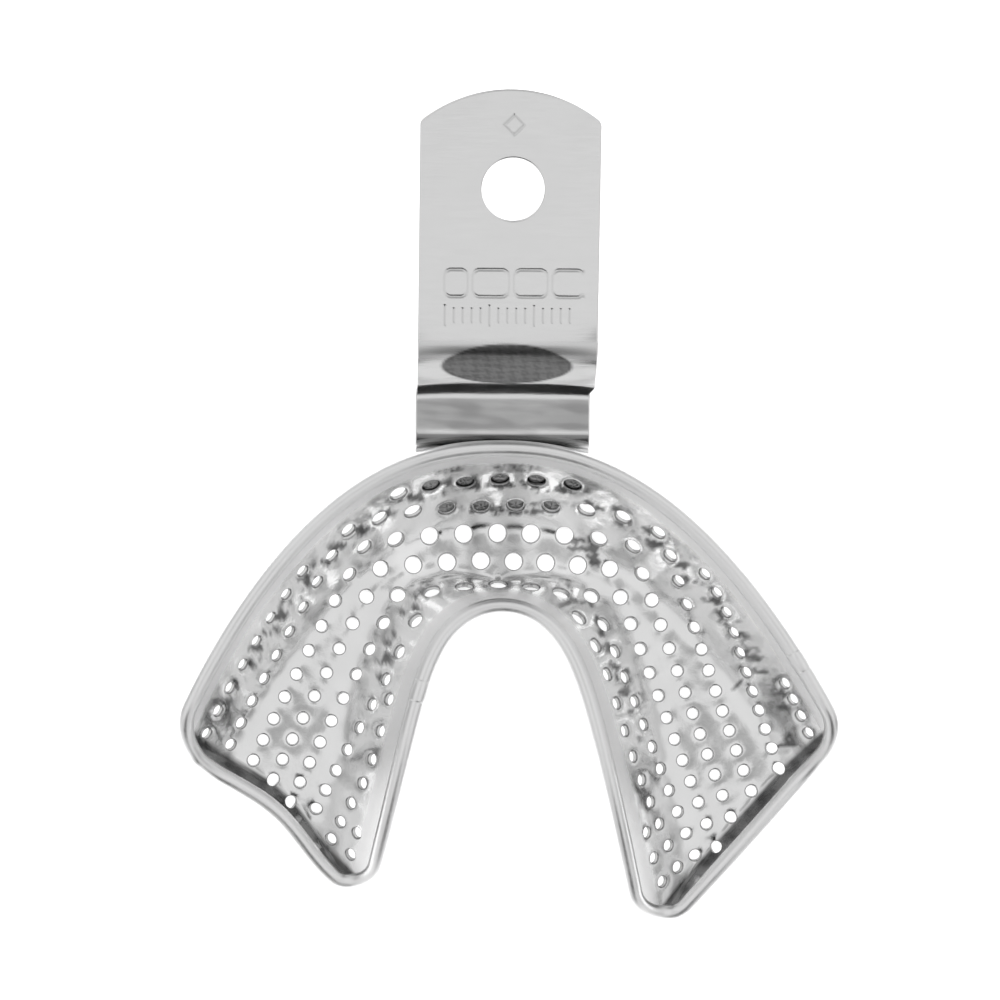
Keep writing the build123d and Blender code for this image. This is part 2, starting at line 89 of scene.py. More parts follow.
# Terms of the pitch across the trough, and of the middle line, bow and spacing of its rows
GRID_ACROSS = {-1: (4.10, -0.012, -0.19, 0.010, 0.0, 0.017),
               1: (3.86, 0.050, -0.187, 0.022, 0.010, 0.023)}
GRID_ALONG = {-1: (18.9, 3.93, -0.078, -0.057, -0.385, 0.018, 0.006),
              1: (18.8, 4.02, -0.073, -0.015, -0.337, 0.004, -0.006)}
GRID_EVEN_COLUMNS = 3.0
GRID_COLUMNS = 12
GRID_ROWS = range(-15, 5)
OUTER_START = 1.0
OUTER_MARGIN = 1.8
OUTER_CROWDING = 1.6
INNER_START = 0.4
INNER_MARGIN_FRONT = 1.75
INNER_MARGIN_ARM = 2.5
INNER_CROWDING = 0.85
HEEL_MARGIN = 1.1
HOLE_CLEARANCE = 1.95
FRONT_TO_ARM = 0.35
FRONT_HOLE_SPREAD = 0.45

# Rim
WIRE_EVENING = 1.2
WIRE_SIDES = 28
WIRE_WAVE = 0.012
WIRE_END_POINT = 0.1
SOLDER_POINTS = {"rim_solder_left": (-8.9, 5.0), "rim_solder_right": (31.6, 8.0)}
SOLDER_HALF_LENGTH = 0.55
BEAD_REACH = 5
BEAD_BULGE = 0.07

# Handle strip
STRIP = 1.5
STRIP_LINE = [(26.7, 1.75), (30.95, 7.6), (37.4, 7.6), (41.7, 10.95), (68.9, 15.75)]
STRIP_BENDS = [5.0, 4.0, 2.2]
STRIP_STEPS = 6001
BEND_STEPS = 41
BEND_EVENING = 12
HANDLE_X = 0.48
HANDLE_HALF_WIDTH = 9.65
NECK_X = 0.155
NECK_HALF_WIDTH = 9.42
NECK_END_Y = 37.0
NECK_SLANT = 0.9
NECK_STEPS = 8
HANDLE_END_RADIUS = 15.3
HANDLE_CORNER = 0.9
HANDLE_LEAN = 0.3
HANDLE_PIVOT_Y = 34.0
HANG_HOLE_RADIUS = 3.3
HANG_HOLE_X = 0.8
HANG_HOLE_Y = 58.45
HANG_HOLE_STEPS = 96
HANDLE_OUTLINE_STEP = 0.3
END_STEPS = 30
CORNER_STEPS = 10
# Cells of the strip's mesh, across and along: elsewhere, over the bends and at the marks
COARSE_CELL = (0.6, 0.55)
BEND_CELL = (0.25, 0.16)
MARK_CELL = 0.11

# Stamped marks on the grip, by their X and the Y of their row
STAMP_DEPTH = 0.05
BOX_ROW_Y = 48.6
BOX_LEFT_X = -6.4
BOX_WIDTHS = (2.5, 3.9, 3.6, 3.4)
BOX_HEIGHT = 2.9
BOX_CORNER = 0.8
BOX_GAP = 0.5
STROKE_ROW_Y = 45.2
STROKE_LEFT_X = -6.3
STROKE_PITCH = 0.95
STROKE_COUNT = 15
STROKE_HEIGHT = 1.3
LONG_STROKE_HEIGHT = 1.9
LOZENGE = (0.75, 65.2)
LOZENGE_REACH = 1.05
# X from and to, Y from and to, of the fine mesh round the two groups of marks
MARK_BOXES = [(-7.2, 8.4, 43.9, 50.6), (-0.8, 2.3, 63.7, 66.7)]

# Edges and small marks of the press
HOLE_RING = 32
HOLE_LIP = 0.2
HANDLE_EDGE = 0.22
LIP_STEPS = 3
DISH_DEPTH = 0.08
DISH_WIDTH = 0.30
PRESS_WAVE = 0.018
HANDLE_WAVE = 0.012
BEND_CURL = 0.35
CURL_PLACE_Y = 40.0
CURL_SPREAD = 3.0
MESH_CLEARANCE = 0.12

# Painted shade and light, with real stains: shade is how much darker than the steel's own tone, in
# steps of SHADE_STEP; below zero it is painted light
SHADE_STEP = 0.55
SHADE_SPAN = (-0.5, 1.6)
# Painted shade on the under skin of every plate
UNDER_SHADE = 0.45
MARK_SHADE = 0.35
# Smooth polished band inside the wire: where it fades out, and how much wider it is on the arms
BAND_FADE = (0.9, 1.6)
BAND_WIDENING = (0.8, 1.2)
# Painted light on the polished band
BAND_PAINTED_LIGHT = 0.45
BAND_ROUGHNESS = 0.42
# How far from the heel line the band starts to be smooth, to carry painted light and to be free of
# stains, painted reflections and painted shade
BAND_HEEL = (0.9, 1.2, 1.6)
# Painted shade along the heels: amount, its middle as a distance from the heel line, and its fade
HEEL_SHADE = 1.6
HEEL_DARK_MIDDLE = 1.0
HEEL_DARK_FADE = (0.45, 1.0)
# Strength of the stains, painted reflections and painted shade at the foot of the walls
STAINS_AND_SHADE_AMOUNT = 1.45
# Painted shade in belts at the foot of the walls: distance from the border, half width, amount
OUTER_FOOT_SHADE = (3.3, 1.2, 1.1)
INNER_FOOT_SHADE = (3.9, 1.4, 0.9)
INNER_FOOT_SHADE_ARM = 0.45
# Dark patches of the sheet in plan, partly stains and partly painted dark reflections, and wide
# soft painted reflections, light and dark: centre, half size, turn, amount
STAINS_AND_REFLECTIONS = [((10.2, 19.9), (1.0, 2.0), 0.35, 1.5), ((8.2, 20.6), (1.0, 0.8), 0.0, 1.2),
          ((1.2, 24.4), (6.6, 0.9), 0.0, 1.0), ((-5.2, 29.0), (2.3, 0.6), 0.1, 1.2),
          ((1.5, 28.9), (3.5, 0.5), 0.0, 0.8), ((31.2, -1.0), (1.5, 0.9), 0.5, 1.3),
          ((25.9, 5.3), (0.8, 0.25), 0.9, 2.0), ((13.5, 6.0), (0.9, 1.5), 0.3, 0.9)]
PAINTED_REFLECTIONS = [((-2.7, 20.0), (0.75, 5.2), 0.0, 0.6), ((1.0, 19.6), (1.4, 4.8), 0.0, 0.5),
            ((6.6, 20.5), (2.0, 3.6), 0.3, -0.5), ((-9.0, 19.5), (2.0, 3.0), -0.4, -0.3)]
# Painted dark reflection on the riser of the handle, an oval with a darker rim: its middle in X and
# Y, and half its size
RISER_REFLECTION = (0.45, 40.25)
RISER_REFLECTION_SIZE = (7.0, 2.35)
RISER_SHADE = 1.45
REFLECTION_RIM = 0.97
REFLECTION_RIM_SHADE = 0.2
# Painted shade on the shelf and in a line along the foot bend; the upper bend is only duller
SHELF_SHADE = 0.4
UPPER_BEND_WIDTH = 0.9
UPPER_BEND_DULLNESS = 0.55
FOOT_LINE_Y = 32.1
FOOT_LINE_SHADE = 1.2

# Braze in the punched holes in front of the foot
PLUG_HALF_SPAN = 9.2
PLUG_SPAN_Y = (22.6, 29.0)
PLUG_DEPTH = 0.42
PLUG_LUMP = 0.16
PLUG_RINGS = (0.97, 0.7, 0.4, 0.0)

# Braze, grain of the steel, floor and lamps, in metres, or per metre for the scales
BRAZE_CELL = 0.00022
BRAZE_LUMP_SIZE = 0.0016
BRAZE_LUMP_HEIGHT = 0.0005
CLOUD_SCALE = 190.0
SWELL_SCALE = 320.0
GRAIN_SCALE = 2600.0
SWELL_HEIGHT = 0.0002
GRAIN_HEIGHT = 0.00003
FLOOR_HALF_SIZE = 1.6
LAMP_SIZE = 0.5

FLOOR_TONE = 0.9
FLOOR_GLOW = 0.55


def cumulative(points):
    """Length along a line of points, at each point."""
    return np.concatenate([[0.0], np.cumsum(np.linalg.norm(np.diff(points, axis=0), axis=1))])


def unit(vectors):
    return vectors / np.linalg.norm(vectors, axis=-1)[..., None]


def read_off(want, length, points):
    """Points of a line at given lengths along it."""
    return np.stack([np.interp(want, length, points[:, k]) for k in (0, 1)], axis=-1)


def grid_points(first, second):
    """Every pair of a value of first with a value of second."""
    return np.stack([part.ravel() for part in np.meshgrid(first, second, indexing="ij")], axis=1)


def gaps_between(points, others):
    """Table of the distances from each point to each of the others."""
    return np.sqrt(((points[:, None] - others[None]) ** 2).sum(-1))


def chunks(count, size=2000):
    """Slices of a long row of points, so that tables of distances stay small."""
    return [slice(first, first + size) for first in range(0, count, size)]


def border_curves(side):
    """Dense outer and inner borders of one half, from the apex to the heel corner."""
    turn = np.linspace(0.0, math.pi / 2, BORDER_STEPS)
    x = side * OUTER_HALF_WIDTH[side] * np.sin(turn) ** (2.0 / OUTER_FRONT_POWER[side])
    y = OUTER_DEPTH * np.cos(turn) ** (2.0 / OUTER_SIDE_POWER[side])
    outer = np.stack([x, y], axis=1)
    last = 1.0 - math.exp(-(INNER_APEX_Y - TIP_Y[side]) / INNER_APEX_LENGTH)
    part = np.sqrt(last) * (1.0 - (1.0 - np.linspace(0.0, 1.0, BORDER_STEPS)) ** APEX_GATHER)
    depth = -INNER_APEX_LENGTH * np.log(1.0 - part ** 2)
    inner = np.stack([side * (INNER_HALF_WIDTH * part + INNER_FLARE[side] * depth),
                      INNER_APEX_Y - depth], axis=1)
    return outer, inner


def with_tangents(curve):
    length = cumulative(curve)
    return curve, length, unit(np.gradient(curve, length, axis=0))


CURVES = {side: [with_tangents(curve) for curve in border_curves(side)] for side in (-1, 1)}


def along(line, fraction):
    """Point and unit tangent on a dense curve at a fraction of its length, run on past its end."""
    curve, length, slope = line
    want = fraction * length[-1]
    inside = np.clip(want, 0.0, length[-1])
    tangent = unit(read_off(inside, length, slope))
    return read_off(inside, length, curve) + (want - inside)[..., None] * tangent, tangent


def wall(distance, width, height):
    """Height of a wall at a distance from its border, softly run out at its foot."""
    def rise(value):
        return WALL_SOFTNESS * np.logaddexp(0.0, value / WALL_SOFTNESS)

    return height * rise(1.0 - distance / width) / rise(1.0)


def heel_line(side):
    """Start, unit run and inward direction of the straight line between the ends of one heel."""
    (outer, _, _), (inner, _, _) = CURVES[side]
    run = unit(inner[-1] - outer[-1])
    return outer[-1], run, -side * np.array([-run[1], run[0]])


def heel_bow(side, b):
    """How far the heel's edge bows in from its straight line."""
    first, last = HEEL_BOW_SPAN
    part = np.clip((b - first) / (last - first), 0.0, 1.0)
    return HEEL_BOW[side] * np.sin(math.pi * part) ** 2


def plan_and_distances(s, b):
    """Plan point at s (-1 left heel, 0 front, +1 right heel) and b (0 outer, 1 inner border),
    with its distances from the outer border, the inner border and the heel line."""
    plan = np.zeros(s.shape + (2,))
    distances = np.zeros(s.shape + (3,))
    for side in (-1, 1):
        here = (s < 0) if side < 0 else (s >= 0)
        if not here.any():
            continue
        outer_line, inner_line = CURVES[side]
        outer, outer_run = along(outer_line, np.abs(s[here]))
        inner, inner_run = along(inner_line, np.abs(s[here]) ** CROSS_LINE_BIAS)
        point = outer + b[here][:, None] * (inner - outer)
        heel_start, heel_run, heel_in = heel_line(side)
        bow = heel_bow(side, b[here])
        point = point + (bow * np.abs(s[here]) ** HEEL_BOW_FADE)[:, None] * heel_in

        def offset(base, run, sign):
            gap = point - base
            return sign * (run[..., 0] * gap[..., 1] - run[..., 1] * gap[..., 0])

        plan[here] = point
        distances[here] = np.stack([offset(outer, outer_run, -side), offset(inner, inner_run, side),
                                    offset(heel_start, heel_run, -side) - bow], axis=-1)
    return plan, distances


def skin(s, b):
    """Upper (trough side) skin of the sheet, before the small marks of the press."""
    plan, distances = plan_and_distances(s, b)
    y = plan[..., 1]
    arm_length = HEEL_DROP_START_Y - np.where(s < 0, TIP_Y[-1], TIP_Y[1])
    drop = np.maximum(0.0, HEEL_DROP_START_Y - y) / arm_length
    floor = FLOOR_SLOPE * (FLOOR_FRONT_Y - y) - HEEL_DROP * drop ** 2
    arm = np.minimum(np.abs(s), 1.05)
    labial = wall(distances[..., 0], LABIAL_WIDTH - BUCCAL_NARROWING * arm ** 2,
                  LABIAL_HEIGHT - BUCCAL_DROP * arm ** 2)
    opening = 1.0 - np.exp(-(s / LINGUAL_SPREAD) ** 2)
    lingual = wall(distances[..., 1],
                   LINGUAL_FRONT_WIDTH + (LINGUAL_ARM_WIDTH - LINGUAL_FRONT_WIDTH) * opening,
                   LINGUAL_HEIGHT - LINGUAL_TIP_DROP * arm ** 3)
    heel = wall(distances[..., 2], HEEL_LIP_WIDTH, HEEL_LIP_HEIGHT)
    height = labial ** CORNER_POWER + lingual ** CORNER_POWER + heel ** CORNER_POWER
    return np.concatenate([plan, (floor + height ** (1.0 / CORNER_POWER))[..., None]], axis=-1)


def normals_of(surface, u, v, step_u, step_v):
    """Unit normals of a surface by central differences, pointing up."""
    by_u = surface(u + step_u, v) - surface(u - step_u, v)
    by_v = surface(u, v + step_v) - surface(u, v - step_v)
    vector = unit(np.cross(by_v, by_u))
    return vector * np.where(vector[..., 2:3] < 0, -1.0, 1.0)


def skin_normal(s, b):
    return normals_of(skin, s, b, 1e-4, 1e-4)


def locate(points, s=None, b=None):
    """The s and b of plan points, by Newton steps from a guess or from the nearest grid point."""
    if s is None:
        rough = grid_points(np.linspace(-1.0, 1.0, 121), np.linspace(0.0, 1.0, 31))
        grid = plan_and_distances(*rough.T)[0]
        nearest = [((grid[None] - points[part][:, None]) ** 2).sum(-1).argmin(axis=1)
                   for part in chunks(len(points), 200)]
        s, b = rough[np.concatenate(nearest)].T
    s, b = s.copy(), b.copy()
    step = 1e-5
    for _ in range(12):
        here = plan_and_distances(s, b)[0]
        by_s = (plan_and_distances(s + step, b)[0] - here) / step
        by_b = (plan_and_distances(s, b + step)[0] - here) / step
        miss = points - here
        scale = by_s[:, 0] * by_b[:, 1] - by_s[:, 1] * by_b[:, 0]
        s += np.clip((miss[:, 0] * by_b[:, 1] - miss[:, 1] * by_b[:, 0]) / scale, -0.05, 0.05)
        b += np.clip((by_s[:, 0] * miss[:, 1] - by_s[:, 1] * miss[:, 0]) / scale, -0.2, 0.2)
    return s, b


def corner_arc(side, line, inward, radius):
    """Rounds the corner between a border and the heel line: the border's last index, and the
    arc's centre and two ends."""
    heel_start, _, heel_in = heel_line(side)
    curve, _, slope = line
    centres = curve + radius * inward * np.stack([-slope[:, 1], slope[:, 0]], axis=1)
    index = int(np.argmin(np.abs((centres - heel_start) @ heel_in - radius)))
    return index, centres[index], curve[index], centres[index] - radius * heel_in


def heel_points(side, start, end, count):
    """Points along the bowed edge of a heel between its two corner arcs."""
    (outer, _, _), (inner, _, _) = CURVES[side]
    straight = start + np.linspace(0.0, 1.0, count)[:, None] * (end - start)
    b = np.linalg.norm(straight - outer[-1], axis=1) / np.linalg.norm(inner[-1] - outer[-1])
    return straight + heel_bow(side, b)[:, None] * heel_line(side)[2]


def arc_points(centre, start, end, count):
    """Points of the shorter arc about a centre, from start to end."""
    first = math.atan2(*(start - centre)[::-1])
    turn = (math.atan2(*(end - centre)[::-1]) - first + math.pi) % (2 * math.pi) - math.pi
    angles = first + turn * np.linspace(0.0, 1.0, count)
    return centre + np.linalg.norm(start - centre) * np.stack([np.cos(angles), np.sin(angles)], 1)


def spaced(loop, spacing):
    """Evenly spaced points round a closed line of points."""
    loop = np.concatenate([loop, loop[:1]])
    length = cumulative(loop)
    keep = np.concatenate([[True], np.diff(length) > 1e-9])
    loop, length = loop[keep], length[keep]
    want = np.linspace(0.0, length[-1], int(length[-1] / spacing), endpoint=False)
    return read_off(want, length, loop)


def tray_outline():
    """Plan points round the outline: front apex, left side, heel, inner arch, right heel, back."""
    halves = []
    for side in (-1, 1):
        outer, inner = CURVES[side]
        back = corner_arc(side, outer, -side, BACK_RADIUS[side])
        tip = corner_arc(side, inner, side, TIP_RADIUS[side])
        halves.append(np.concatenate([outer[0][:back[0] + 1], arc_points(*back[1:], ARC_STEPS),
                                      heel_points(side, back[3], tip[3], HEEL_STEPS)[1:-1],
                                      arc_points(tip[1], tip[3], tip[2], ARC_STEPS),
                                      inner[0][:tip[0] + 1][::-1]]))
    return spaced(np.concatenate([halves[0], halves[1][::-1]]), OUTLINE_STEP)


OUTLINE = tray_outline()


def rim_line():
    """Centre line of the rim wire, through the middle of the sheet's edge, evened in height."""
    s, b = locate(OUTLINE)
    centre = skin(s, b) - SHEET / 2 * skin_normal(s, b)
    reach = round(3 * WIRE_EVENING / OUTLINE_STEP)
    weights = np.exp(-0.5 * (np.arange(-reach, reach + 1) * OUTLINE_STEP / WIRE_EVENING) ** 2)
    wrapped = np.concatenate([centre[-reach:], centre, centre[:reach]])
    height = np.convolve(wrapped[:, 2], weights / weights.sum(), mode="valid")
    return np.column_stack([centre[:, :2], height])


def crowd(distance, end, span):
    """Keeps distances above end, crowding together the ones that are less than end + span."""
    short = end + span - distance
    return np.where(short > 0, end + span * np.exp(-short / span), distance)


def punched_holes():
    """s, b, centre, direction and radius of every hole in the sheet."""
    points = []
    for side in (-1, 1):
        for row in GRID_ROWS:
            first = 0.5 if row % 2 == 0 else (0.0 if side > 0 else 1.0)
            size = first + np.arange(GRID_COLUMNS)
            even = np.maximum(size, GRID_EVEN_COLUMNS)
            a0, a1, a2, a3, a4, a5 = GRID_ACROSS[side]
            b0, b1, b2, b3, b4, b5, b6 = GRID_ALONG[side]
            pitch = a0 + a1 * row + a2 * even + a3 * even * row + a4 * row ** 2 + a5 * even ** 2
            spacing = b1 + b3 * row + b4 * even + b5 * even ** 2 + b6 * even * row
            points += list(zip(side * size * pitch, b0 + b2 * size ** 2 + row * spacing))
    points = np.array(points)
    s, b = locate(points)
    plan, distances = plan_and_distances(s, b)
    inside = ((np.abs(plan - points).max(axis=1) < 1e-3) & (np.abs(s) < 1)
              & (distances[:, 0] > OUTER_START) & (distances[:, 1] > INNER_START)
              & (distances[:, 2] > HEEL_MARGIN))
    s, b, distances = s[inside], b[inside], distances[inside]
    arm = np.clip(np.abs(s) / FRONT_TO_ARM, 0.0, 1.0)
    inner_margin = INNER_MARGIN_FRONT + (INNER_MARGIN_ARM - INNER_MARGIN_FRONT) * arm
    b = b * crowd(distances[:, 0], OUTER_MARGIN, OUTER_CROWDING) / distances[:, 0]
    b = 1.0 - (1.0 - b) * crowd(distances[:, 1], inner_margin, INNER_CROWDING) / distances[:, 1]
    centres = skin(s, b)
    gaps = gaps_between(centres[:, :2], OUTLINE).min(axis=1)
    kept = []
    for index in np.argsort(np.abs(b - 0.5)):
        near = [np.linalg.norm(centres[index] - centres[other]) for other in kept]
        if gaps[index] > HEEL_MARGIN and min(near, default=HOLE_CLEARANCE) >= HOLE_CLEARANCE:
            kept.append(index)
    s, b = s[kept], b[kept]
    front = np.exp(-(s / FRONT_HOLE_SPREAD) ** 4)
    radius = HOLE_RADIUS_ARM + (HOLE_RADIUS_FRONT - HOLE_RADIUS_ARM) * front
    return s, b, skin(s, b), skin_normal(s, b), radius


HOLES = punched_holes()


def press_marks(points):
    """Small departures of the sheet from its drawn form: dished holes and press waves."""
    depth = np.zeros(len(points))
    _, _, centres, _, radii = HOLES
    for part in chunks(len(points)):
        gaps = gaps_between(points[part], centres) - radii[None]
        depth[part] = -DISH_DEPTH * np.exp(-np.maximum(gaps, -0.1) / DISH_WIDTH).sum(axis=1)
    x, y, z = points.T
    wave = (np.sin(1.1 * x + 0.7 * y + 0.5) * np.sin(0.9 * y - 0.5 * z + 1.3)
            + 0.6 * np.sin(1.9 * x - 0.8 * z) * np.cos(1.6 * y + 0.9))
    return depth + PRESS_WAVE * wave


def fade(value, start, end):
    """Goes smoothly from 1 at start to 0 at end."""
    part = np.clip((value - start) / (end - start), 0.0, 1.0)
    return 1.0 - part * part * (3.0 - 2.0 * part)


def patch(x, y, centre, half_size, turn=0.0):
    """Soft round patch on the plan, 1 in its middle."""
    dx, dy = x - centre[0], y - centre[1]
    across = (dx * math.cos(turn) + dy * math.sin(turn)) / half_size[0]
    up = (dy * math.cos(turn) - dx * math.sin(turn)) / half_size[1]
    return np.exp(-(across ** 2 + up ** 2) ** 1.5)


def blotches(x, y, size):
    """Uneven pattern between 0 and 1."""
    x, y = x / size, y / size
    waves = (np.sin(1.3 * x + 2.1 * y + 1.0) * np.sin(1.9 * y - 1.1 * x)
             + 0.7 * np.sin(3.3 * x - 1.7 * y + 2.0) * np.sin(2.6 * x + 3.7 * y)
             + 0.5 * np.sin(6.1 * x + 1.9 * y) * np.sin(5.3 * y - 2.7 * x + 1.0))
    return 1.0 - fade(waves, -0.5, 0.9)


def border_band(s, distances):
    """The smooth polished band inside the rim wire."""
    arm = np.minimum(np.abs(s), 1.0)
    (start, end), (start_more, end_more) = BAND_FADE, BAND_WIDENING
    return np.maximum(fade(distances[..., 0], start, end),
                      fade(distances[..., 1], start + start_more * arm, end + end_more * arm))


def belt(distance, middle, half_width, amount):
    """Soft belt that is strongest at one distance from a border."""
    return amount * np.exp(-((distance - middle) / half_width) ** 2)


def sheet_tones(s, b):
    """Shade and smoothness of the trough: polished border with painted light, painted shade at the
    foot of the walls and on the heels, stains and painted reflections.
    """
    plan, distances = plan_and_distances(s, b)
    x, y = plan.T
    outer, inner, heel = distances.T
    arm = np.minimum(np.abs(s), 1.0)
    band = border_band(s, distances)
    # Painted shade at the foot of the outer and inner walls, blotched
    darkening = belt(outer, *OUTER_FOOT_SHADE) * fade(arm, 0.8, 1.0) * blotches(x, y, 1.2)
    darkening += (belt(inner, *INNER_FOOT_SHADE) * fade(np.abs(arm - INNER_FOOT_SHADE_ARM), 0.15, 0.35)
              * blotches(x + 3.0, y, 1.5))
    # Dark patches: partly stains, partly painted dark reflections
    for centre, half_size, turn, amount in STAINS_AND_REFLECTIONS:
        darkening += amount * patch(x, y, centre, half_size, turn) * (0.45 + 0.75 * blotches(x, y, 0.8))
    shade = STAINS_AND_SHADE_AMOUNT * (1.0 - fade(darkening, 0.3, 0.95))
    # Painted shade along the heels
    shade += (HEEL_SHADE * fade(np.abs(heel - HEEL_DARK_MIDDLE), *HEEL_DARK_FADE)
              * (0.85 + 0.15 * blotches(x, y, 2.2)))
    # Painted reflections, light and dark
    for centre, half_size, turn, amount in PAINTED_REFLECTIONS:
        shade += amount * patch(x, y, centre, half_size, turn)
    # The border band carries painted light and is kept clear of stains and painted shade
    smooth_from, light_from, clean_from = BAND_HEEL
    return (shade * (1.0 - band * (heel > clean_from)) - BAND_PAINTED_LIGHT * band * (heel > light_from),
            band * fade(-heel, -clean_from, -smooth_from))


def sheet_surface(s, b):
    """Upper skin of the sheet with the small marks of the press, but for the smooth border."""
    base = skin(s, b)
    band = border_band(s, plan_and_distances(s, b)[1])
    return base + (press_marks(base) * (1.0 - band))[:, None] * skin_normal(s, b)


def add_object(name, data):
    """New object in the scene."""
    thing = bpy.data.objects.new(name, data)
    bpy.context.scene.collection.objects.link(thing)
    return thing


def make_mesh(name, points, faces, normals=None):
    """Object from model points in millimetres, smooth shaded."""
    mesh = bpy.data.meshes.new(name)
    mesh.from_pydata(((points - ORIGIN) / 1000.0).tolist(), [], faces)
    mesh.validate()
    mesh.polygons.foreach_set("use_smooth", [True] * len(mesh.polygons))
    if normals is not None:
        mesh.normals_split_custom_set_from_vertices(normals.tolist())
    return add_object(name, mesh)


def inside_polygon(points, polygon):
    """Whether each point is inside a closed polygon."""
    start, end = polygon, np.roll(polygon, -1, axis=0)
    result = np.zeros(len(points), bool)
    for part in chunks(len(points)):
        x, y = points[part, 0:1], points[part, 1:2]
        crosses = (start[:, 1] > y) != (end[:, 1] > y)
        rise = np.where(end[:, 1] == start[:, 1], 1.0, end[:, 1] - start[:, 1])
        at = start[:, 0] + (y - start[:, 1]) * (end[:, 0] - start[:, 0]) / rise
        result[part] = (crosses & (x < at)).sum(axis=1) % 2 == 1
    return result


def triangulate(rings, filling):
    """Points and triangles of the flat area between an outline, which is the first ring, and the
    holes in it."""
    flat = np.concatenate(rings + [filling])
    ring_of = np.concatenate([np.full(len(ring), k) for k, ring in enumerate(rings)]
                             + [np.full(len(filling), -1)])
    edges, start = [], 0
    for ring in rings:
        count = len(ring)
        edges += [(start + i, start + (i + 1) % count) for i in range(count)]
        start += count
    found = delaunay_2d_cdt([Vector(p) for p in flat.tolist()], edges, [], 0, 1e-7)
    where = np.array([origin[0] if origin else -1 for origin in found[3]])
    triangles = where[np.array([t for t in found[2] if len(t) == 3])]
    triangles = triangles[(triangles >= 0).all(axis=1)]
    first, second, third = ring_of[triangles].T
    hole_cap = (first > 0) & (first == second) & (first == third)
    triangles = triangles[~hole_cap]
    return flat, triangles[inside_polygon(flat[triangles].mean(axis=1), rings[0])]


def plate(name, surface, base, steps, loops, filling, thickness, lip, tones):
    """A bent plate with rounded edges. surface(u, v) is its upper skin, base(u, v) the same
    without fine marks. loops are (edge, inset) pairs of uv rings, the outline first; filling
    holds the uv points between them. tones(u, v) gives shade and smoothness of the upper skin."""
    flat, triangles = triangulate([inset for _, inset in loops], filling)

    def skins(uv):
        u, v = uv[:, 0], uv[:, 1]
        below = base(u, v)
        return (surface(u, v), normals_of(surface, u, v, *steps), below,
                normals_of(base, u, v, *steps))

    top, top_normal, below, below_normal = skins(flat)
    count = len(flat)
    points = [top, below - thickness * below_normal]
    shade, smooth = tones(flat[:, 0], flat[:, 1])
    # Painted shade on the under skin, blotched
    shades = [shade, UNDER_SHADE * (0.7 + 0.6 * blotches(below[:, 0], below[:, 1], 2.5))]
    smooths = [smooth, smooth]
    normals = [top_normal, -below_normal]
    turns = np.cross(top[triangles[:, 1]] - top[triangles[:, 0]],
                     top[triangles[:, 2]] - top[triangles[:, 0]])
    if (turns * top_normal[triangles[:, 0]]).sum() < 0:
        triangles = triangles[:, ::-1]
    faces = triangles.tolist() + (triangles[:, ::-1] + count).tolist()
    total, start = 2 * count, 0
    for edge, inset in loops:
        ring_count = len(inset)
        rim, rim_normal, low_rim, low_normal = skins(edge)
        pick = slice(start, start + ring_count)
        above, under = top[pick], points[1][pick]
        out = unit(rim - above)
        # Painted shade: the lips and walls of the punched holes are one step darker than other
        # edges
        punched = np.full(ring_count, float(ring_count == HOLE_RING))
        low_edge = low_rim - thickness * low_normal
        levels = [np.arange(start, start + ring_count)]
        lips = [(step, above, rim, rim_normal) for step in range(1, LIP_STEPS + 1)]
        lips += [(step, under, low_edge, -low_normal) for step in range(LIP_STEPS, 0, -1)]
        for step, inner, outer, normal in lips:
            turn = math.pi / 2 * step / LIP_STEPS
            points.append(inner + (outer - inner) * math.sin(turn)
                          - normal * lip * (1 - math.cos(turn)))
            normals.append(unit(normal * math.cos(turn) + out * math.sin(turn)))
            shades.append(punched)
            smooths.append(smooth[pick])
            levels.append(total + np.arange(ring_count))
            total += ring_count
        levels.append(np.arange(start, start + ring_count) + count)
        run = above[1] - above[0]
        forward = np.cross(run, under[0] - above[0]) @ out[0] > 0
        for upper, lower in zip(levels, levels[1:]):
            after_upper, after_lower = np.roll(upper, -1), np.roll(lower, -1)
            quads = np.stack([upper, after_upper, after_lower, lower], axis=1)
            if not forward:
                quads = quads[:, ::-1]
            faces += quads.tolist()
        start += ring_count
    piece = make_mesh(name, np.concatenate(points), faces, np.concatenate(normals))
    for label, values in (("shade", shades), ("smooth", smooths)):
        tone = piece.data.attributes.new(label, "FLOAT", "POINT")
        tone.data.foreach_set("value", np.concatenate(values))
    return piece


def circle_about(centre, direction, radius):
    """Ring of points about a direction."""
    across = unit(np.cross(direction, [0.0, 1.0, 0.0]))
    other = np.cross(direction, across)
    turn = np.linspace(0.0, 2 * math.pi, HOLE_RING, endpoint=False)[:, None]
    return centre + radius * (np.cos(turn) * across + np.sin(turn) * other)


def hole_ring(centre, direction, radius, s, b):
    """s and b of a ring of surface points round a hole."""
    ring = circle_about(centre, direction, radius)
    found = locate(ring[:, :2], np.full(HOLE_RING, s), np.full(HOLE_RING, b))
    return np.stack(found, axis=1)


def far_from(points, others, least):
    """Which points are at least that far from all the others (an array or one number each)."""
    keep = np.ones(len(points), bool)
    for part in chunks(len(points)):
        keep[part] = (gaps_between(points[part], others) > least).all(axis=1)
    return keep


# Scale from s and b to rough millimetres, so that the triangles come out even
FLAT = np.array([55.0, 20.0])
EDGE_INSET = 0.012
SHEET_LINES = 261
HALF_CROSS_POINTS = 29
CROSS_GATHER = 1.25


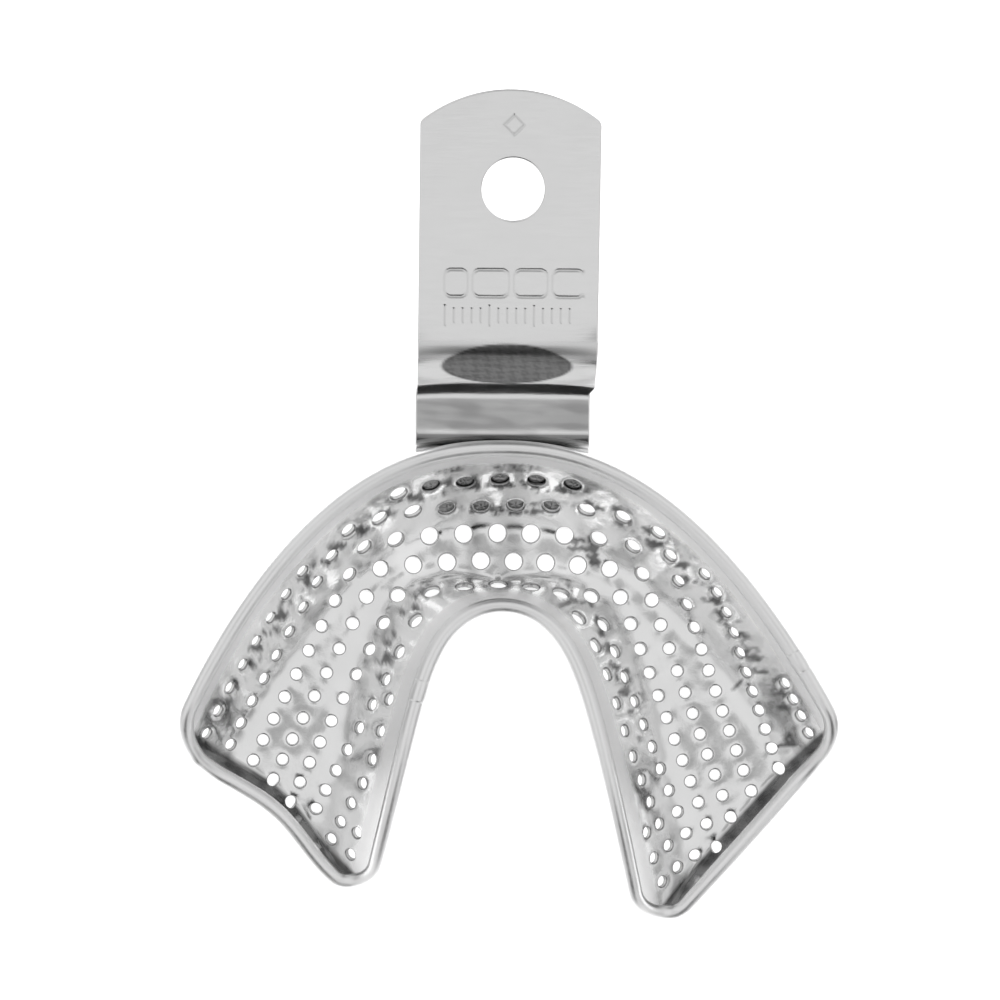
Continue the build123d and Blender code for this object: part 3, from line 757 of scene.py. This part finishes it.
def tray_sheet():
    """The perforated trough, with its edge inside the rim wire."""
    edge = np.stack(locate(OUTLINE), axis=1)
    loops = [(edge, edge + (np.array([0.0, 0.5]) - edge) * [0.0, EDGE_INSET])]
    for s, b, centre, direction, radius in zip(*HOLES):
        loops.append((hole_ring(centre, direction, radius, s, b),
                      hole_ring(centre, direction, radius + HOLE_LIP, s, b)))
    half = np.linspace(0.0, 0.5, HALF_CROSS_POINTS) ** CROSS_GATHER * 0.5 ** (1.0 - CROSS_GATHER)
    across = np.concatenate([half, 1.0 - half[:-1][::-1]])
    grid = grid_points(np.linspace(-1.0, 1.0, SHEET_LINES), across)
    place = skin(grid[:, 0], grid[:, 1])
    keep = inside_polygon(place[:, :2], OUTLINE)
    grid, place = grid[keep], place[keep]
    keep = far_from(place, HOLES[2], HOLES[4][None] + HOLE_LIP + MESH_CLEARANCE)
    grid, place = grid[keep], place[keep]
    grid = grid[far_from(place[:, :2], OUTLINE, MESH_CLEARANCE)]
    scaled = [(edge * FLAT, inset * FLAT) for edge, inset in loops]

    def of_scaled(function):
        return lambda u, v: function(u / FLAT[0], v / FLAT[1])

    return plate("tray_sheet", of_scaled(sheet_surface), of_scaled(skin), (0.006, 0.006), scaled,
                 grid * FLAT, SHEET, HOLE_LIP, of_scaled(sheet_tones))


def bands(first, rings, sides):
    """Faces between rings of points that follow one another."""
    faces = []
    for ring in range(first, first + (rings - 1) * sides, sides):
        for k in range(sides):
            after = (k + 1) % sides
            faces.append((ring + k, ring + after, ring + sides + after, ring + sides + k))
    return faces


def tube(name, centres, radii):
    """Round bar along a line of points, with slightly pointed ends."""
    sides = WIRE_SIDES
    run = unit(np.gradient(centres, axis=0))
    side = unit(np.cross(run, [0.0, 0.0, 1.0]))
    up = np.cross(side, run)
    turn = np.linspace(0.0, 2 * math.pi, sides, endpoint=False)
    circle = side[:, None] * np.cos(turn)[None, :, None] + up[:, None] * np.sin(turn)[None, :, None]
    points = (centres[:, None] + radii[:, None, None] * circle).reshape(-1, 3)
    faces = bands(0, len(centres), sides)
    last = (len(centres) - 1) * sides
    points = np.concatenate([points, centres[:1] - WIRE_END_POINT * run[:1],
                             centres[-1:] + WIRE_END_POINT * run[-1:]])
    for k in range(sides):
        after = (k + 1) % sides
        faces.append((len(points) - 2, after, k))
        faces.append((len(points) - 1, last + k, last + after))
    return make_mesh(name, points, faces)


def rim_pieces():
    """Two lengths of rim wire and the solder beads between them."""
    line = rim_line()
    gap = round(SOLDER_HALF_LENGTH / OUTLINE_STEP)
    place = {name: int(np.hypot(*(OUTLINE - np.array(point)).T).argmin())
             for name, point in SOLDER_POINTS.items()}
    left, right = place["rim_solder_left"], place["rim_solder_right"]
    runs = {"rim_wire_rear": (left + gap - 1, right - gap + 1),
            "rim_wire_front": (right + gap - 1, left + len(line) - gap + 1)}
    pieces = {}
    for name, (first, last) in runs.items():
        picks = np.arange(first, last + 1) % len(line)
        along_wire = np.arange(len(picks)) * OUTLINE_STEP
        wave = np.sin(0.8 * along_wire) * np.sin(0.23 * along_wire)
        radii = WIRE_RADIUS * (1.0 + WIRE_WAVE * wave)
        pieces[name] = tube(name + "_bar", line[picks], radii)
    for name, index in place.items():
        picks = np.arange(index - BEAD_REACH, index + BEAD_REACH + 1) % len(line)
        spread = np.linspace(-1.0, 1.0, len(picks))
        radii = WIRE_RADIUS + BEAD_BULGE * (1.0 - spread ** 2) ** 0.8 - 0.01
        pieces[name] = tube(name + "_bead", line[picks], radii)
    return pieces


def strip_path():
    """Arc-length table of the strip's middle line in Y and Z: lengths, points, directions."""
    corners = [np.array(p) for p in STRIP_LINE]
    points = [corners[0]]
    for k, radius in enumerate(STRIP_BENDS):
        before = unit(corners[k + 1] - corners[k])
        after = unit(corners[k + 2] - corners[k + 1])
        turn = math.atan2(before[0] * after[1] - before[1] * after[0], before @ after)
        trim = radius * math.tan(abs(turn) / 2)
        start = corners[k + 1] - trim * before
        centre = start + math.copysign(radius, turn) * np.array([-before[1], before[0]])
        points += list(arc_points(centre, start, corners[k + 1] + trim * after, BEND_STEPS))
    points.append(corners[-1])
    points = np.array(points)
    keep = np.concatenate([[True], np.linalg.norm(np.diff(points, axis=0), axis=1) > 1e-9])
    points = points[keep]
    length = cumulative(points)
    dense = np.linspace(0.0, length[-1], STRIP_STEPS)
    line = read_off(dense, length, points)
    direction = unit(np.gradient(line, dense, axis=0))
    window = 2 * BEND_EVENING + 1
    padded = np.pad(direction, ((BEND_EVENING, BEND_EVENING), (0, 0)), mode="edge")
    direction = unit(np.stack([np.convolve(padded[:, k], np.ones(window) / window, "valid")
                               for k in (0, 1)], axis=1))
    return dense, line, direction


STRIP_TABLE = strip_path()
STRIP_LENGTH = STRIP_TABLE[0][-1]
GRIP_TILT = math.atan2(STRIP_LINE[4][1] - STRIP_LINE[3][1], STRIP_LINE[4][0] - STRIP_LINE[3][0])


def grip_place(y):
    """Length along the strip of a plan Y on the grip."""
    return STRIP_LENGTH - (STRIP_LINE[-1][0] - y) / math.cos(GRIP_TILT)


def strip_place(y):
    """Length along the strip where its middle line is at a plan Y."""
    lengths, line, _ = STRIP_TABLE
    return float(np.interp(y, line[:, 0], lengths))


def box_gap(x, y, width, height, corner):
    """Distance from the outline of a rounded box about the origin."""
    dx = np.abs(x) - width / 2 + corner
    dy = np.abs(y) - height / 2 + corner
    outside = np.hypot(np.maximum(dx, 0), np.maximum(dy, 0))
    return np.abs(outside + np.minimum(np.maximum(dx, dy), 0) - corner)


def stamp_depth(x, t):
    """Generic stamped marks on the grip: plain boxes, a row of strokes and a small lozenge."""
    depth = np.zeros(len(x))

    def groove(gap, half_width, amount):
        shape = np.clip(1.0 - gap / half_width, 0.0, 1.0)
        np.maximum(depth, amount * shape * shape * (3 - 2 * shape), out=depth)

    row = grip_place(BOX_ROW_Y)
    left = BOX_LEFT_X
    for width in BOX_WIDTHS:
        gap = box_gap(x - left - width / 2, t - row, width, BOX_HEIGHT, BOX_CORNER)
        groove(gap, 0.26, 0.5 * STAMP_DEPTH)
        left += width + BOX_GAP
    row = grip_place(STROKE_ROW_Y)
    for k in range(STROKE_COUNT):
        height = LONG_STROKE_HEIGHT if k % 5 == 0 else STROKE_HEIGHT
        middle = STROKE_LEFT_X + STROKE_PITCH * k
        gap = np.hypot(x - middle, np.maximum(np.abs(t - row) - height / 2, 0.0))
        groove(gap, 0.22, STAMP_DEPTH)
    reach = np.abs(x - LOZENGE[0]) + np.abs(t - grip_place(LOZENGE[1]))
    groove(np.abs(reach - LOZENGE_REACH) / math.sqrt(2), 0.2, STAMP_DEPTH)
    return depth


def lean_points(points):
    """Turns the handle a little on the plan."""
    angle = math.radians(-HANDLE_LEAN)
    x, y = points[:, 0].copy(), points[:, 1] - HANDLE_PIVOT_Y
    points[:, 0] = x * math.cos(angle) - y * math.sin(angle)
    points[:, 1] = x * math.sin(angle) + y * math.cos(angle) + HANDLE_PIVOT_Y
    return points


def strip_skin(x, t, sink):
    """Upper skin of the strip at x across it and t along it, lowered by sink."""
    lengths, line, direction = STRIP_TABLE
    inside = np.clip(t, 0.0, STRIP_LENGTH)
    y, z = read_off(inside, lengths, line).T
    run_y, run_z = read_off(inside, lengths, direction).T
    rise = STRIP / 2 - sink
    return lean_points(np.stack([x, y + (t - inside) * run_y - rise * run_z,
                                 z + (t - inside) * run_z + rise * run_y], axis=1))


def bend_curl(x, t):
    """How far the sides of the strip stand up where it is bent."""
    near = np.exp(-((t - grip_place(CURL_PLACE_Y)) / CURL_SPREAD) ** 2)
    return BEND_CURL * (np.abs(x) / HANDLE_HALF_WIDTH) ** 4 * near


def handle_surface(x, t):
    """Upper skin of the strip with its marks, its slight waves and the curl at the bend."""
    belly = HANDLE_WAVE * (np.sin(0.35 * x + 0.8) * np.sin(0.22 * t)
                           + 0.5 * np.sin(0.9 * x - 0.4 * t))
    return strip_skin(x, t, stamp_depth(x, t) + belly - bend_curl(x, t))


def handle_outline():
    """Strip outline in x and length along the strip, with a bowed end."""
    end = STRIP_LENGTH
    neck = strip_place(NECK_END_Y)
    lean_in = np.linspace(0.0, 1.0, NECK_STEPS)
    blend = lean_in * lean_in * (3 - 2 * lean_in)
    side = [(NECK_HALF_WIDTH, 0.0)]
    side += [(NECK_HALF_WIDTH + (HANDLE_HALF_WIDTH - NECK_HALF_WIDTH) * f, neck + NECK_SLANT * g)
             for f, g in zip(blend, lean_in)]
    inset = HANDLE_CORNER
    corner_angle = math.asin((HANDLE_HALF_WIDTH - inset) / (HANDLE_END_RADIUS - inset))
    centre = (HANDLE_HALF_WIDTH - inset,
              end - HANDLE_END_RADIUS + (HANDLE_END_RADIUS - inset) * math.cos(corner_angle))
    side += [(centre[0] + inset * math.cos(a), centre[1] + inset * math.sin(a))
             for a in np.linspace(0.0, math.pi / 2 - corner_angle, CORNER_STEPS)]
    side += [(HANDLE_END_RADIUS * math.sin(a),
              end - HANDLE_END_RADIUS * (1 - math.cos(a)))
             for a in np.linspace(corner_angle, 0.0, END_STEPS)[1:]]
    right = np.array(side)
    left = right[::-1][1:] * [-1.0, 1.0]
    whole = np.concatenate([right, left])
    share = np.clip((whole[:, 1] - neck) / NECK_SLANT, 0.0, 1.0)
    whole[:, 0] += NECK_X + (HANDLE_X - NECK_X) * share
    return whole


def inset_ring(ring, amount):
    """A closed ring moved inwards, for rings that run anticlockwise."""
    run = unit(np.roll(ring, -1, axis=0) - np.roll(ring, 1, axis=0))
    return ring + amount * np.stack([-run[:, 1], run[:, 0]], axis=1)


def handle_tones(x, t):
    """Shade and dullness of the handle: darker stamped marks, a painted dark reflection on the
    riser, painted shade on a blotched shelf, a dull upper bend and a painted dark line of shade at
    the foot."""
    # Painted dark reflection: an oval on the riser with a darker rim
    across = (x - RISER_REFLECTION[0]) / RISER_REFLECTION_SIZE[0]
    along_strip = (t - strip_place(RISER_REFLECTION[1])) / RISER_REFLECTION_SIZE[1]
    round_off = across ** 2 + along_strip ** 2
    darkening = RISER_SHADE * fade(round_off, 0.92, 1.05) * (0.9 + 0.1 * blotches(x, t, 0.5))
    darkening += belt(round_off, REFLECTION_RIM, 0.08, REFLECTION_RIM_SHADE)
    marks = MARK_SHADE * stamp_depth(x, t) / STAMP_DEPTH
    # Painted shade on the shelf below the bend, and a painted dark line along the foot bend
    bend = strip_place(STRIP_LINE[2][0])
    shelf = SHELF_SHADE * fade(t, bend - 2.0, bend - 1.0) * blotches(0.25 * x + 0.3 * t, t, 1.4)
    foot_line = FOOT_LINE_SHADE * fade(np.abs(t - strip_place(FOOT_LINE_Y)), 0.45, 0.7)
    near = np.exp(-((t - strip_place(STRIP_LINE[3][0])) / UPPER_BEND_WIDTH) ** 4)
    sides = (1.0 - UPPER_BEND_DULLNESS) * (np.abs(x) / HANDLE_HALF_WIDTH) ** 2
    return darkening + marks + shelf + foot_line, near * (UPPER_BEND_DULLNESS + sides)


def handle_mesh_points():
    """Points on the strip: a coarse grid, a fine one over the bends and finer ones at the marks."""
    bend_t = np.arange(3.0, grip_place(44.0), BEND_CELL[1])
    boxes = [(x0, x1, grip_place(y0), grip_place(y1)) for x0, x1, y0, y1 in MARK_BOXES]
    grids = [(np.arange(-9.2, 10.2, COARSE_CELL[0]), np.arange(0.3, STRIP_LENGTH, COARSE_CELL[1])),
             (np.arange(-9.1, 10.1, BEND_CELL[0]), bend_t)]
    grids += [(np.arange(x0, x1, MARK_CELL), np.arange(t0, t1, MARK_CELL))
              for x0, x1, t0, t1 in boxes]
    coarse, *fine = [grid_points(*grid) for grid in grids]
    rough = coarse[coarse[:, 1] > bend_t[-1] + 0.2]
    for x0, x1, t0, t1 in boxes:
        inside = ((rough[:, 0] > x0 - 0.1) & (rough[:, 0] < x1 + 0.1)
                  & (rough[:, 1] > t0 - 0.1) & (rough[:, 1] < t1 + 0.1))
        rough = rough[~inside]
    start = coarse[coarse[:, 1] < bend_t[0] - 0.2]
    return np.concatenate([rough, start, *fine])


def handle_strip():
    """The handle, one bent strip with a hanging hole."""
    edge = spaced(handle_outline(), HANDLE_OUTLINE_STEP)
    inset = inset_ring(edge, HANDLE_EDGE)
    turn = np.linspace(0.0, 2 * math.pi, HANG_HOLE_STEPS, endpoint=False)
    circle = np.stack([np.cos(turn), np.sin(turn)], axis=1)
    middle = np.array([HANG_HOLE_X, grip_place(HANG_HOLE_Y)])
    hole = (middle + HANG_HOLE_RADIUS * circle,
            middle + (HANG_HOLE_RADIUS + HANDLE_EDGE) * circle)
    filling = handle_mesh_points()
    filling = filling[inside_polygon(filling, inset)]
    filling = filling[far_from(filling, inset, MESH_CLEARANCE)]
    filling = filling[np.hypot(*(filling - middle).T) > HANG_HOLE_RADIUS + HANDLE_EDGE + 0.15]
    return plate("handle_strip", handle_surface, lambda x, t: strip_skin(x, t, 0.0), (0.01, 0.01),
                 [(edge, inset), hole], filling, STRIP, HANDLE_EDGE, handle_tones)


def braze_lump():
    """The filler behind the front wall, softened and lumpy as it froze."""
    piece = add_object("braze_lump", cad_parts["foot_braze"].data.copy())
    remesh = piece.modifiers.new("even", "REMESH")
    remesh.mode = "VOXEL"
    remesh.voxel_size = BRAZE_CELL
    smooth = piece.modifiers.new("soften", "SMOOTH")
    smooth.factor = 0.5
    smooth.iterations = 5
    texture = bpy.data.textures.new("lumps", "CLOUDS")
    texture.noise_scale = BRAZE_LUMP_SIZE
    displace = piece.modifiers.new("lumps", "DISPLACE")
    displace.texture = texture
    displace.strength = BRAZE_LUMP_HEIGHT
    displace.mid_level = 0.45
    bpy.context.view_layer.update()
    graph = bpy.context.evaluated_depsgraph_get()
    mesh = bpy.data.meshes.new_from_object(piece.evaluated_get(graph))
    piece.modifiers.clear()
    piece.data = mesh
    mesh.polygons.foreach_set("use_smooth", [True] * len(mesh.polygons))
    return piece


def braze_plugs():
    """Lumps of braze that ran into the punched holes in front of the handle's foot."""
    points, faces = [], []
    turn = np.linspace(0.0, 2 * math.pi, HOLE_RING, endpoint=False)
    for _, _, centre, direction, radius in zip(*HOLES):
        if abs(centre[0]) > PLUG_HALF_SPAN or not PLUG_SPAN_Y[0] < centre[1] < PLUG_SPAN_Y[1]:
            continue
        first = len(points)
        for share in PLUG_RINGS:
            uneven = 1.0 + 0.7 * np.sin(3.0 * turn + 5.0 * centre[0])
            lump = PLUG_LUMP * (1.0 - share ** 2) * uneven
            depth = PLUG_DEPTH + 0.5 * PLUG_LUMP * math.sin(7.0 * centre[0]) - lump
            points += list(circle_about(centre, direction, share * radius)
                           - depth[:, None] * direction)
        faces += bands(first, len(PLUG_RINGS), HOLE_RING)
    return make_mesh("braze_plugs", np.array(points), faces)


class Nodes:
    """Short way to write a node tree. Inputs go by name, or by number as i0, i1 and so on, and
    add gives one output of the new node."""

    def __init__(self, tree):
        self.tree = tree
        tree.nodes.clear()

    def add(self, kind, settings=None, output=0, **inputs):
        node = self.tree.nodes.new("ShaderNode" + kind)
        for key, value in (settings or {}).items():
            setattr(node, key, value)
        for key, value in inputs.items():
            numbered = key[0] == "i" and key[1:].isdigit()
            socket = node.inputs[int(key[1:]) if numbered else key.replace("_", " ")]
            if isinstance(value, bpy.types.NodeSocket):
                self.tree.links.new(value, socket)
            else:
                socket.default_value = value
        return node.outputs[output] if node.outputs else None

    def between(self, value, start, end, low, high, kind="LINEAR"):
        """Maps start to low and end to high, held beyond them."""
        return self.add("MapRange", {"interpolation_type": kind}, i0=value, i1=start, i2=end,
                        i3=low, i4=high)

    def cone(self, direction, way, inner, outer, within, beyond):
        """Goes softly from within to beyond, by the angle in degrees from a fixed direction."""
        cosine = self.add("VectorMath", {"operation": "DOT_PRODUCT"}, "Value", i0=direction,
                          i1=Vector(way).normalized())
        start, end = math.cos(math.radians(outer)), math.cos(math.radians(inner))
        return self.between(cosine, start, end, beyond, within, "SMOOTHSTEP")

    def times(self, colour, tone):
        """A colour darkened by a tone."""
        return self.add("Mix", {"data_type": "RGBA", "blend_type": "MULTIPLY"}, 2, i0=1.0,
                        i6=colour, i7=tone)


def ramp(nodes, value, stops):
    """Grey that follows a value through stops of place and level."""
    output = nodes.add("ValToRGB", i0=value)
    band = output.node.color_ramp
    while len(band.elements) < len(stops):
        band.elements.new(0.5)
    for element, (place, level) in zip(band.elements, stops):
        element.position = place
        element.color = (level, level, level, 1.0)
    return output


def new_material(name):
    material = bpy.data.materials.new(name)
    material.use_nodes = True
    return material, Nodes(material.node_tree)


def steel(name, light, dark, rough, scratch, wave, stretch=(1.0, 1.0, 1.0)):
    """Polished or brushed stainless steel: cloudy tone, uneven gloss, fine scratches."""
    material, nodes = new_material(name)
    place = nodes.add("TexCoord", output="Object")
    spread = nodes.add("Mapping", i0=place, Scale=stretch)
    cloud = nodes.add("TexNoise", Vector=place, Scale=CLOUD_SCALE, Detail=4.0)
    fine = nodes.add("TexNoise", Vector=spread, Scale=GRAIN_SCALE, Detail=5.0, Roughness=0.65)
    colour = ramp(nodes, cloud, [(0.3, dark), (0.7, light)])
    # The shade attribute darkens the colour for stains, painted shade and painted reflections, and
    # lightens it for painted light
    shade = nodes.add("Attribute", {"attribute_name": "shade"}, "Fac")
    smooth = nodes.add("Attribute", {"attribute_name": "smooth"}, "Fac")
    lightest, darkest = SHADE_SPAN
    shade = nodes.between(shade, lightest, darkest, 1.0 - lightest * SHADE_STEP,
                          1.0 - darkest * SHADE_STEP)
    colour = nodes.times(colour, shade)
    gloss = nodes.add("Math", {"operation": "MULTIPLY"}, i0=cloud, i1=fine)
    gloss = nodes.between(gloss, 0.15, 0.35, *rough)
    gloss = nodes.add("Mix", {"data_type": "FLOAT"}, i0=smooth, i2=gloss, i3=BAND_ROUGHNESS)
    ground = nodes.between(smooth, 0.0, 1.0, wave, 0.0)
    swell = nodes.add("TexNoise", Vector=place, Scale=SWELL_SCALE, Detail=2.0)
    bump = nodes.add("Bump", Height=fine, Strength=scratch, Distance=GRAIN_HEIGHT)
    bump = nodes.add("Bump", Height=swell, Strength=ground, Distance=SWELL_HEIGHT, Normal=bump)
    shader = nodes.add("BsdfPrincipled", Base_Color=colour, Roughness=gloss, Metallic=1.0,
                       Normal=bump)
    nodes.add("OutputMaterial", Surface=shader)
    return material


def dress(piece, material):
    piece.data.materials.clear()
    piece.data.materials.append(material)


def make_floor():
    mesh = bpy.data.meshes.new("floor")
    size = FLOOR_HALF_SIZE
    mesh.from_pydata([(-size, -size, 0), (size, -size, 0), (size, size, 0), (-size, size, 0)],
                     [], [(0, 1, 2, 3)])
    floor = add_object("floor", mesh)
    material, nodes = new_material("pale_floor")
    tone = (FLOOR_TONE, FLOOR_TONE, FLOOR_TONE, 1.0)
    shader = nodes.add("BsdfPrincipled", Base_Color=tone, Roughness=0.9,
                       Emission_Color=(1.0, 1.0, 1.0, 1.0), Emission_Strength=FLOOR_GLOW)
    nodes.add("OutputMaterial", Surface=shader)
    dress(floor, material)


# Dark things round the light tent, seen only in the steel: direction, inner and outer angle in
# degrees, and how dark
TENT_GAPS = [((0.03, 0.40, 0.91), 3, 8, 0.45), ((0.1, 0.93, 0.30), 12, 28, 0.8),
             ((-0.95, 0.2, 0.25), 6, 22, 0.5), ((0.9, -0.4, 0.25), 6, 22, 0.5),
             ((0.0, 0.0, 1.0), 4.0, 14.0, 0.48)]
# Tone against the sine of the height: all round, and in the sector below the handle
TENT_TONE = [(0.0, 0.62), (0.2, 0.72), (0.42, 0.62), (0.54, 0.55), (0.68, 0.76), (1.0, 0.78)]
FRONT_TONE = [(0.0, 0.80), (0.30, 0.82), (0.35, 0.02), (0.86, 0.02), (0.91, 0.76), (1.0, 0.78)]
FRONT_SECTOR = (14.0, 26.0)


def make_world():
    """A light tent that only the steel sees, with plain white behind the tray."""
    world = bpy.data.worlds.new("studio")
    bpy.context.scene.world = world
    world.use_nodes = True
    nodes = Nodes(world.node_tree)
    direction = nodes.add("TexCoord", output="Generated")
    height = nodes.add("SeparateXYZ", output=2, i0=direction)
    tone = ramp(nodes, height, TENT_TONE)
    front = ramp(nodes, height, FRONT_TONE)
    level = nodes.add("VectorMath", {"operation": "MULTIPLY"}, i0=direction, i1=(1.0, 1.0, 0.0))
    level = nodes.add("VectorMath", {"operation": "NORMALIZE"}, i0=level)
    sector = nodes.cone(level, (0.0, -1.0, 0.0), *FRONT_SECTOR, 1.0, 0.0)
    tone = nodes.add("Mix", {"data_type": "RGBA"}, 2, i0=sector, i6=tone, i7=front)
    for way, inner, outer, dark in TENT_GAPS:
        tone = nodes.times(tone, nodes.cone(direction, way, inner, outer, 1.0 - dark, 1.0))
    lit = nodes.add("Background", Color=tone, Strength=1.0)
    plain = nodes.add("Background", Color=(1.0, 1.0, 1.0, 1.0), Strength=1.0)
    seen = nodes.add("LightPath", output="Is Camera Ray")
    mixed = nodes.add("MixShader", i0=seen, i1=lit, i2=plain)
    nodes.add("OutputWorld", Surface=mixed)


def make_light(name, place, power):
    """A round softbox that faces the middle of the scene and isn't mirrored in the steel."""
    light = bpy.data.lights.new(name, "AREA")
    light.shape = "DISK"
    light.size = LAMP_SIZE
    light.energy = power
    lamp = add_object(name, light)
    lamp.location = place
    lamp.rotation_euler = Vector(place).to_track_quat("Z", "Y").to_euler()
    lamp.visible_glossy = False


CAMERA_DISTANCE = 0.450
CAMERA_SIDE = math.radians(-3.0)
VIEW_CENTRE = Vector((np.array([-0.22, 25.44, 9.81]) - ORIGIN) / 1000.0)
VIEW_WIDTH = 0.107


def make_camera():
    data = bpy.data.cameras.new("camera")
    data.sensor_width = 36.0
    data.lens = data.sensor_width * CAMERA_DISTANCE / VIEW_WIDTH
    data.clip_start = 0.01
    camera = add_object("camera", data)
    away = Vector((math.sin(CAMERA_SIDE), 0.0, math.cos(CAMERA_SIDE)))
    camera.location = VIEW_CENTRE + CAMERA_DISTANCE * away
    camera.rotation_euler = (0.0, CAMERA_SIDE, 0.0)
    bpy.context.scene.camera = camera


make_camera()
make_world()
make_floor()
make_light("softbox_left", (-0.5, 0.25, 0.7), 3.0)
make_light("softbox_right", (0.55, -0.1, 0.6), 2.0)
bpy.context.scene.view_settings.view_transform = "Standard"

sheet_steel = steel("sheet_steel", 0.94, 0.87, (0.10, 0.20), 0.25, 0.35)
wire_steel = steel("wire_steel", 0.96, 0.91, (0.30, 0.40), 0.2, 0.05)
handle_steel = steel("handle_steel", 0.86, 0.82, (0.10, 0.18), 0.25, 0.08, (0.12, 1.0, 1.0))
braze_metal = steel("braze_metal", 0.60, 0.25, (0.25, 0.55), 0.8, 0.9)

PIECES = [(tray_sheet(), "tray_shell", "sheet_steel", sheet_steel),
          (handle_strip(), "handle", "handle_steel", handle_steel),
          (braze_lump(), "foot_braze", "braze_metal", braze_metal)]
for node, piece in rim_pieces().items():
    metal = "braze_metal" if "solder" in node else "wire_steel"
    PIECES.append((piece, node, metal, wire_steel))

plugs = braze_plugs()
dress(plugs, braze_metal)
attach(plugs, "root")

for piece, node, slot, material in PIECES:
    dress(piece, material)
    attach(piece, "root")
    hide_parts(node)
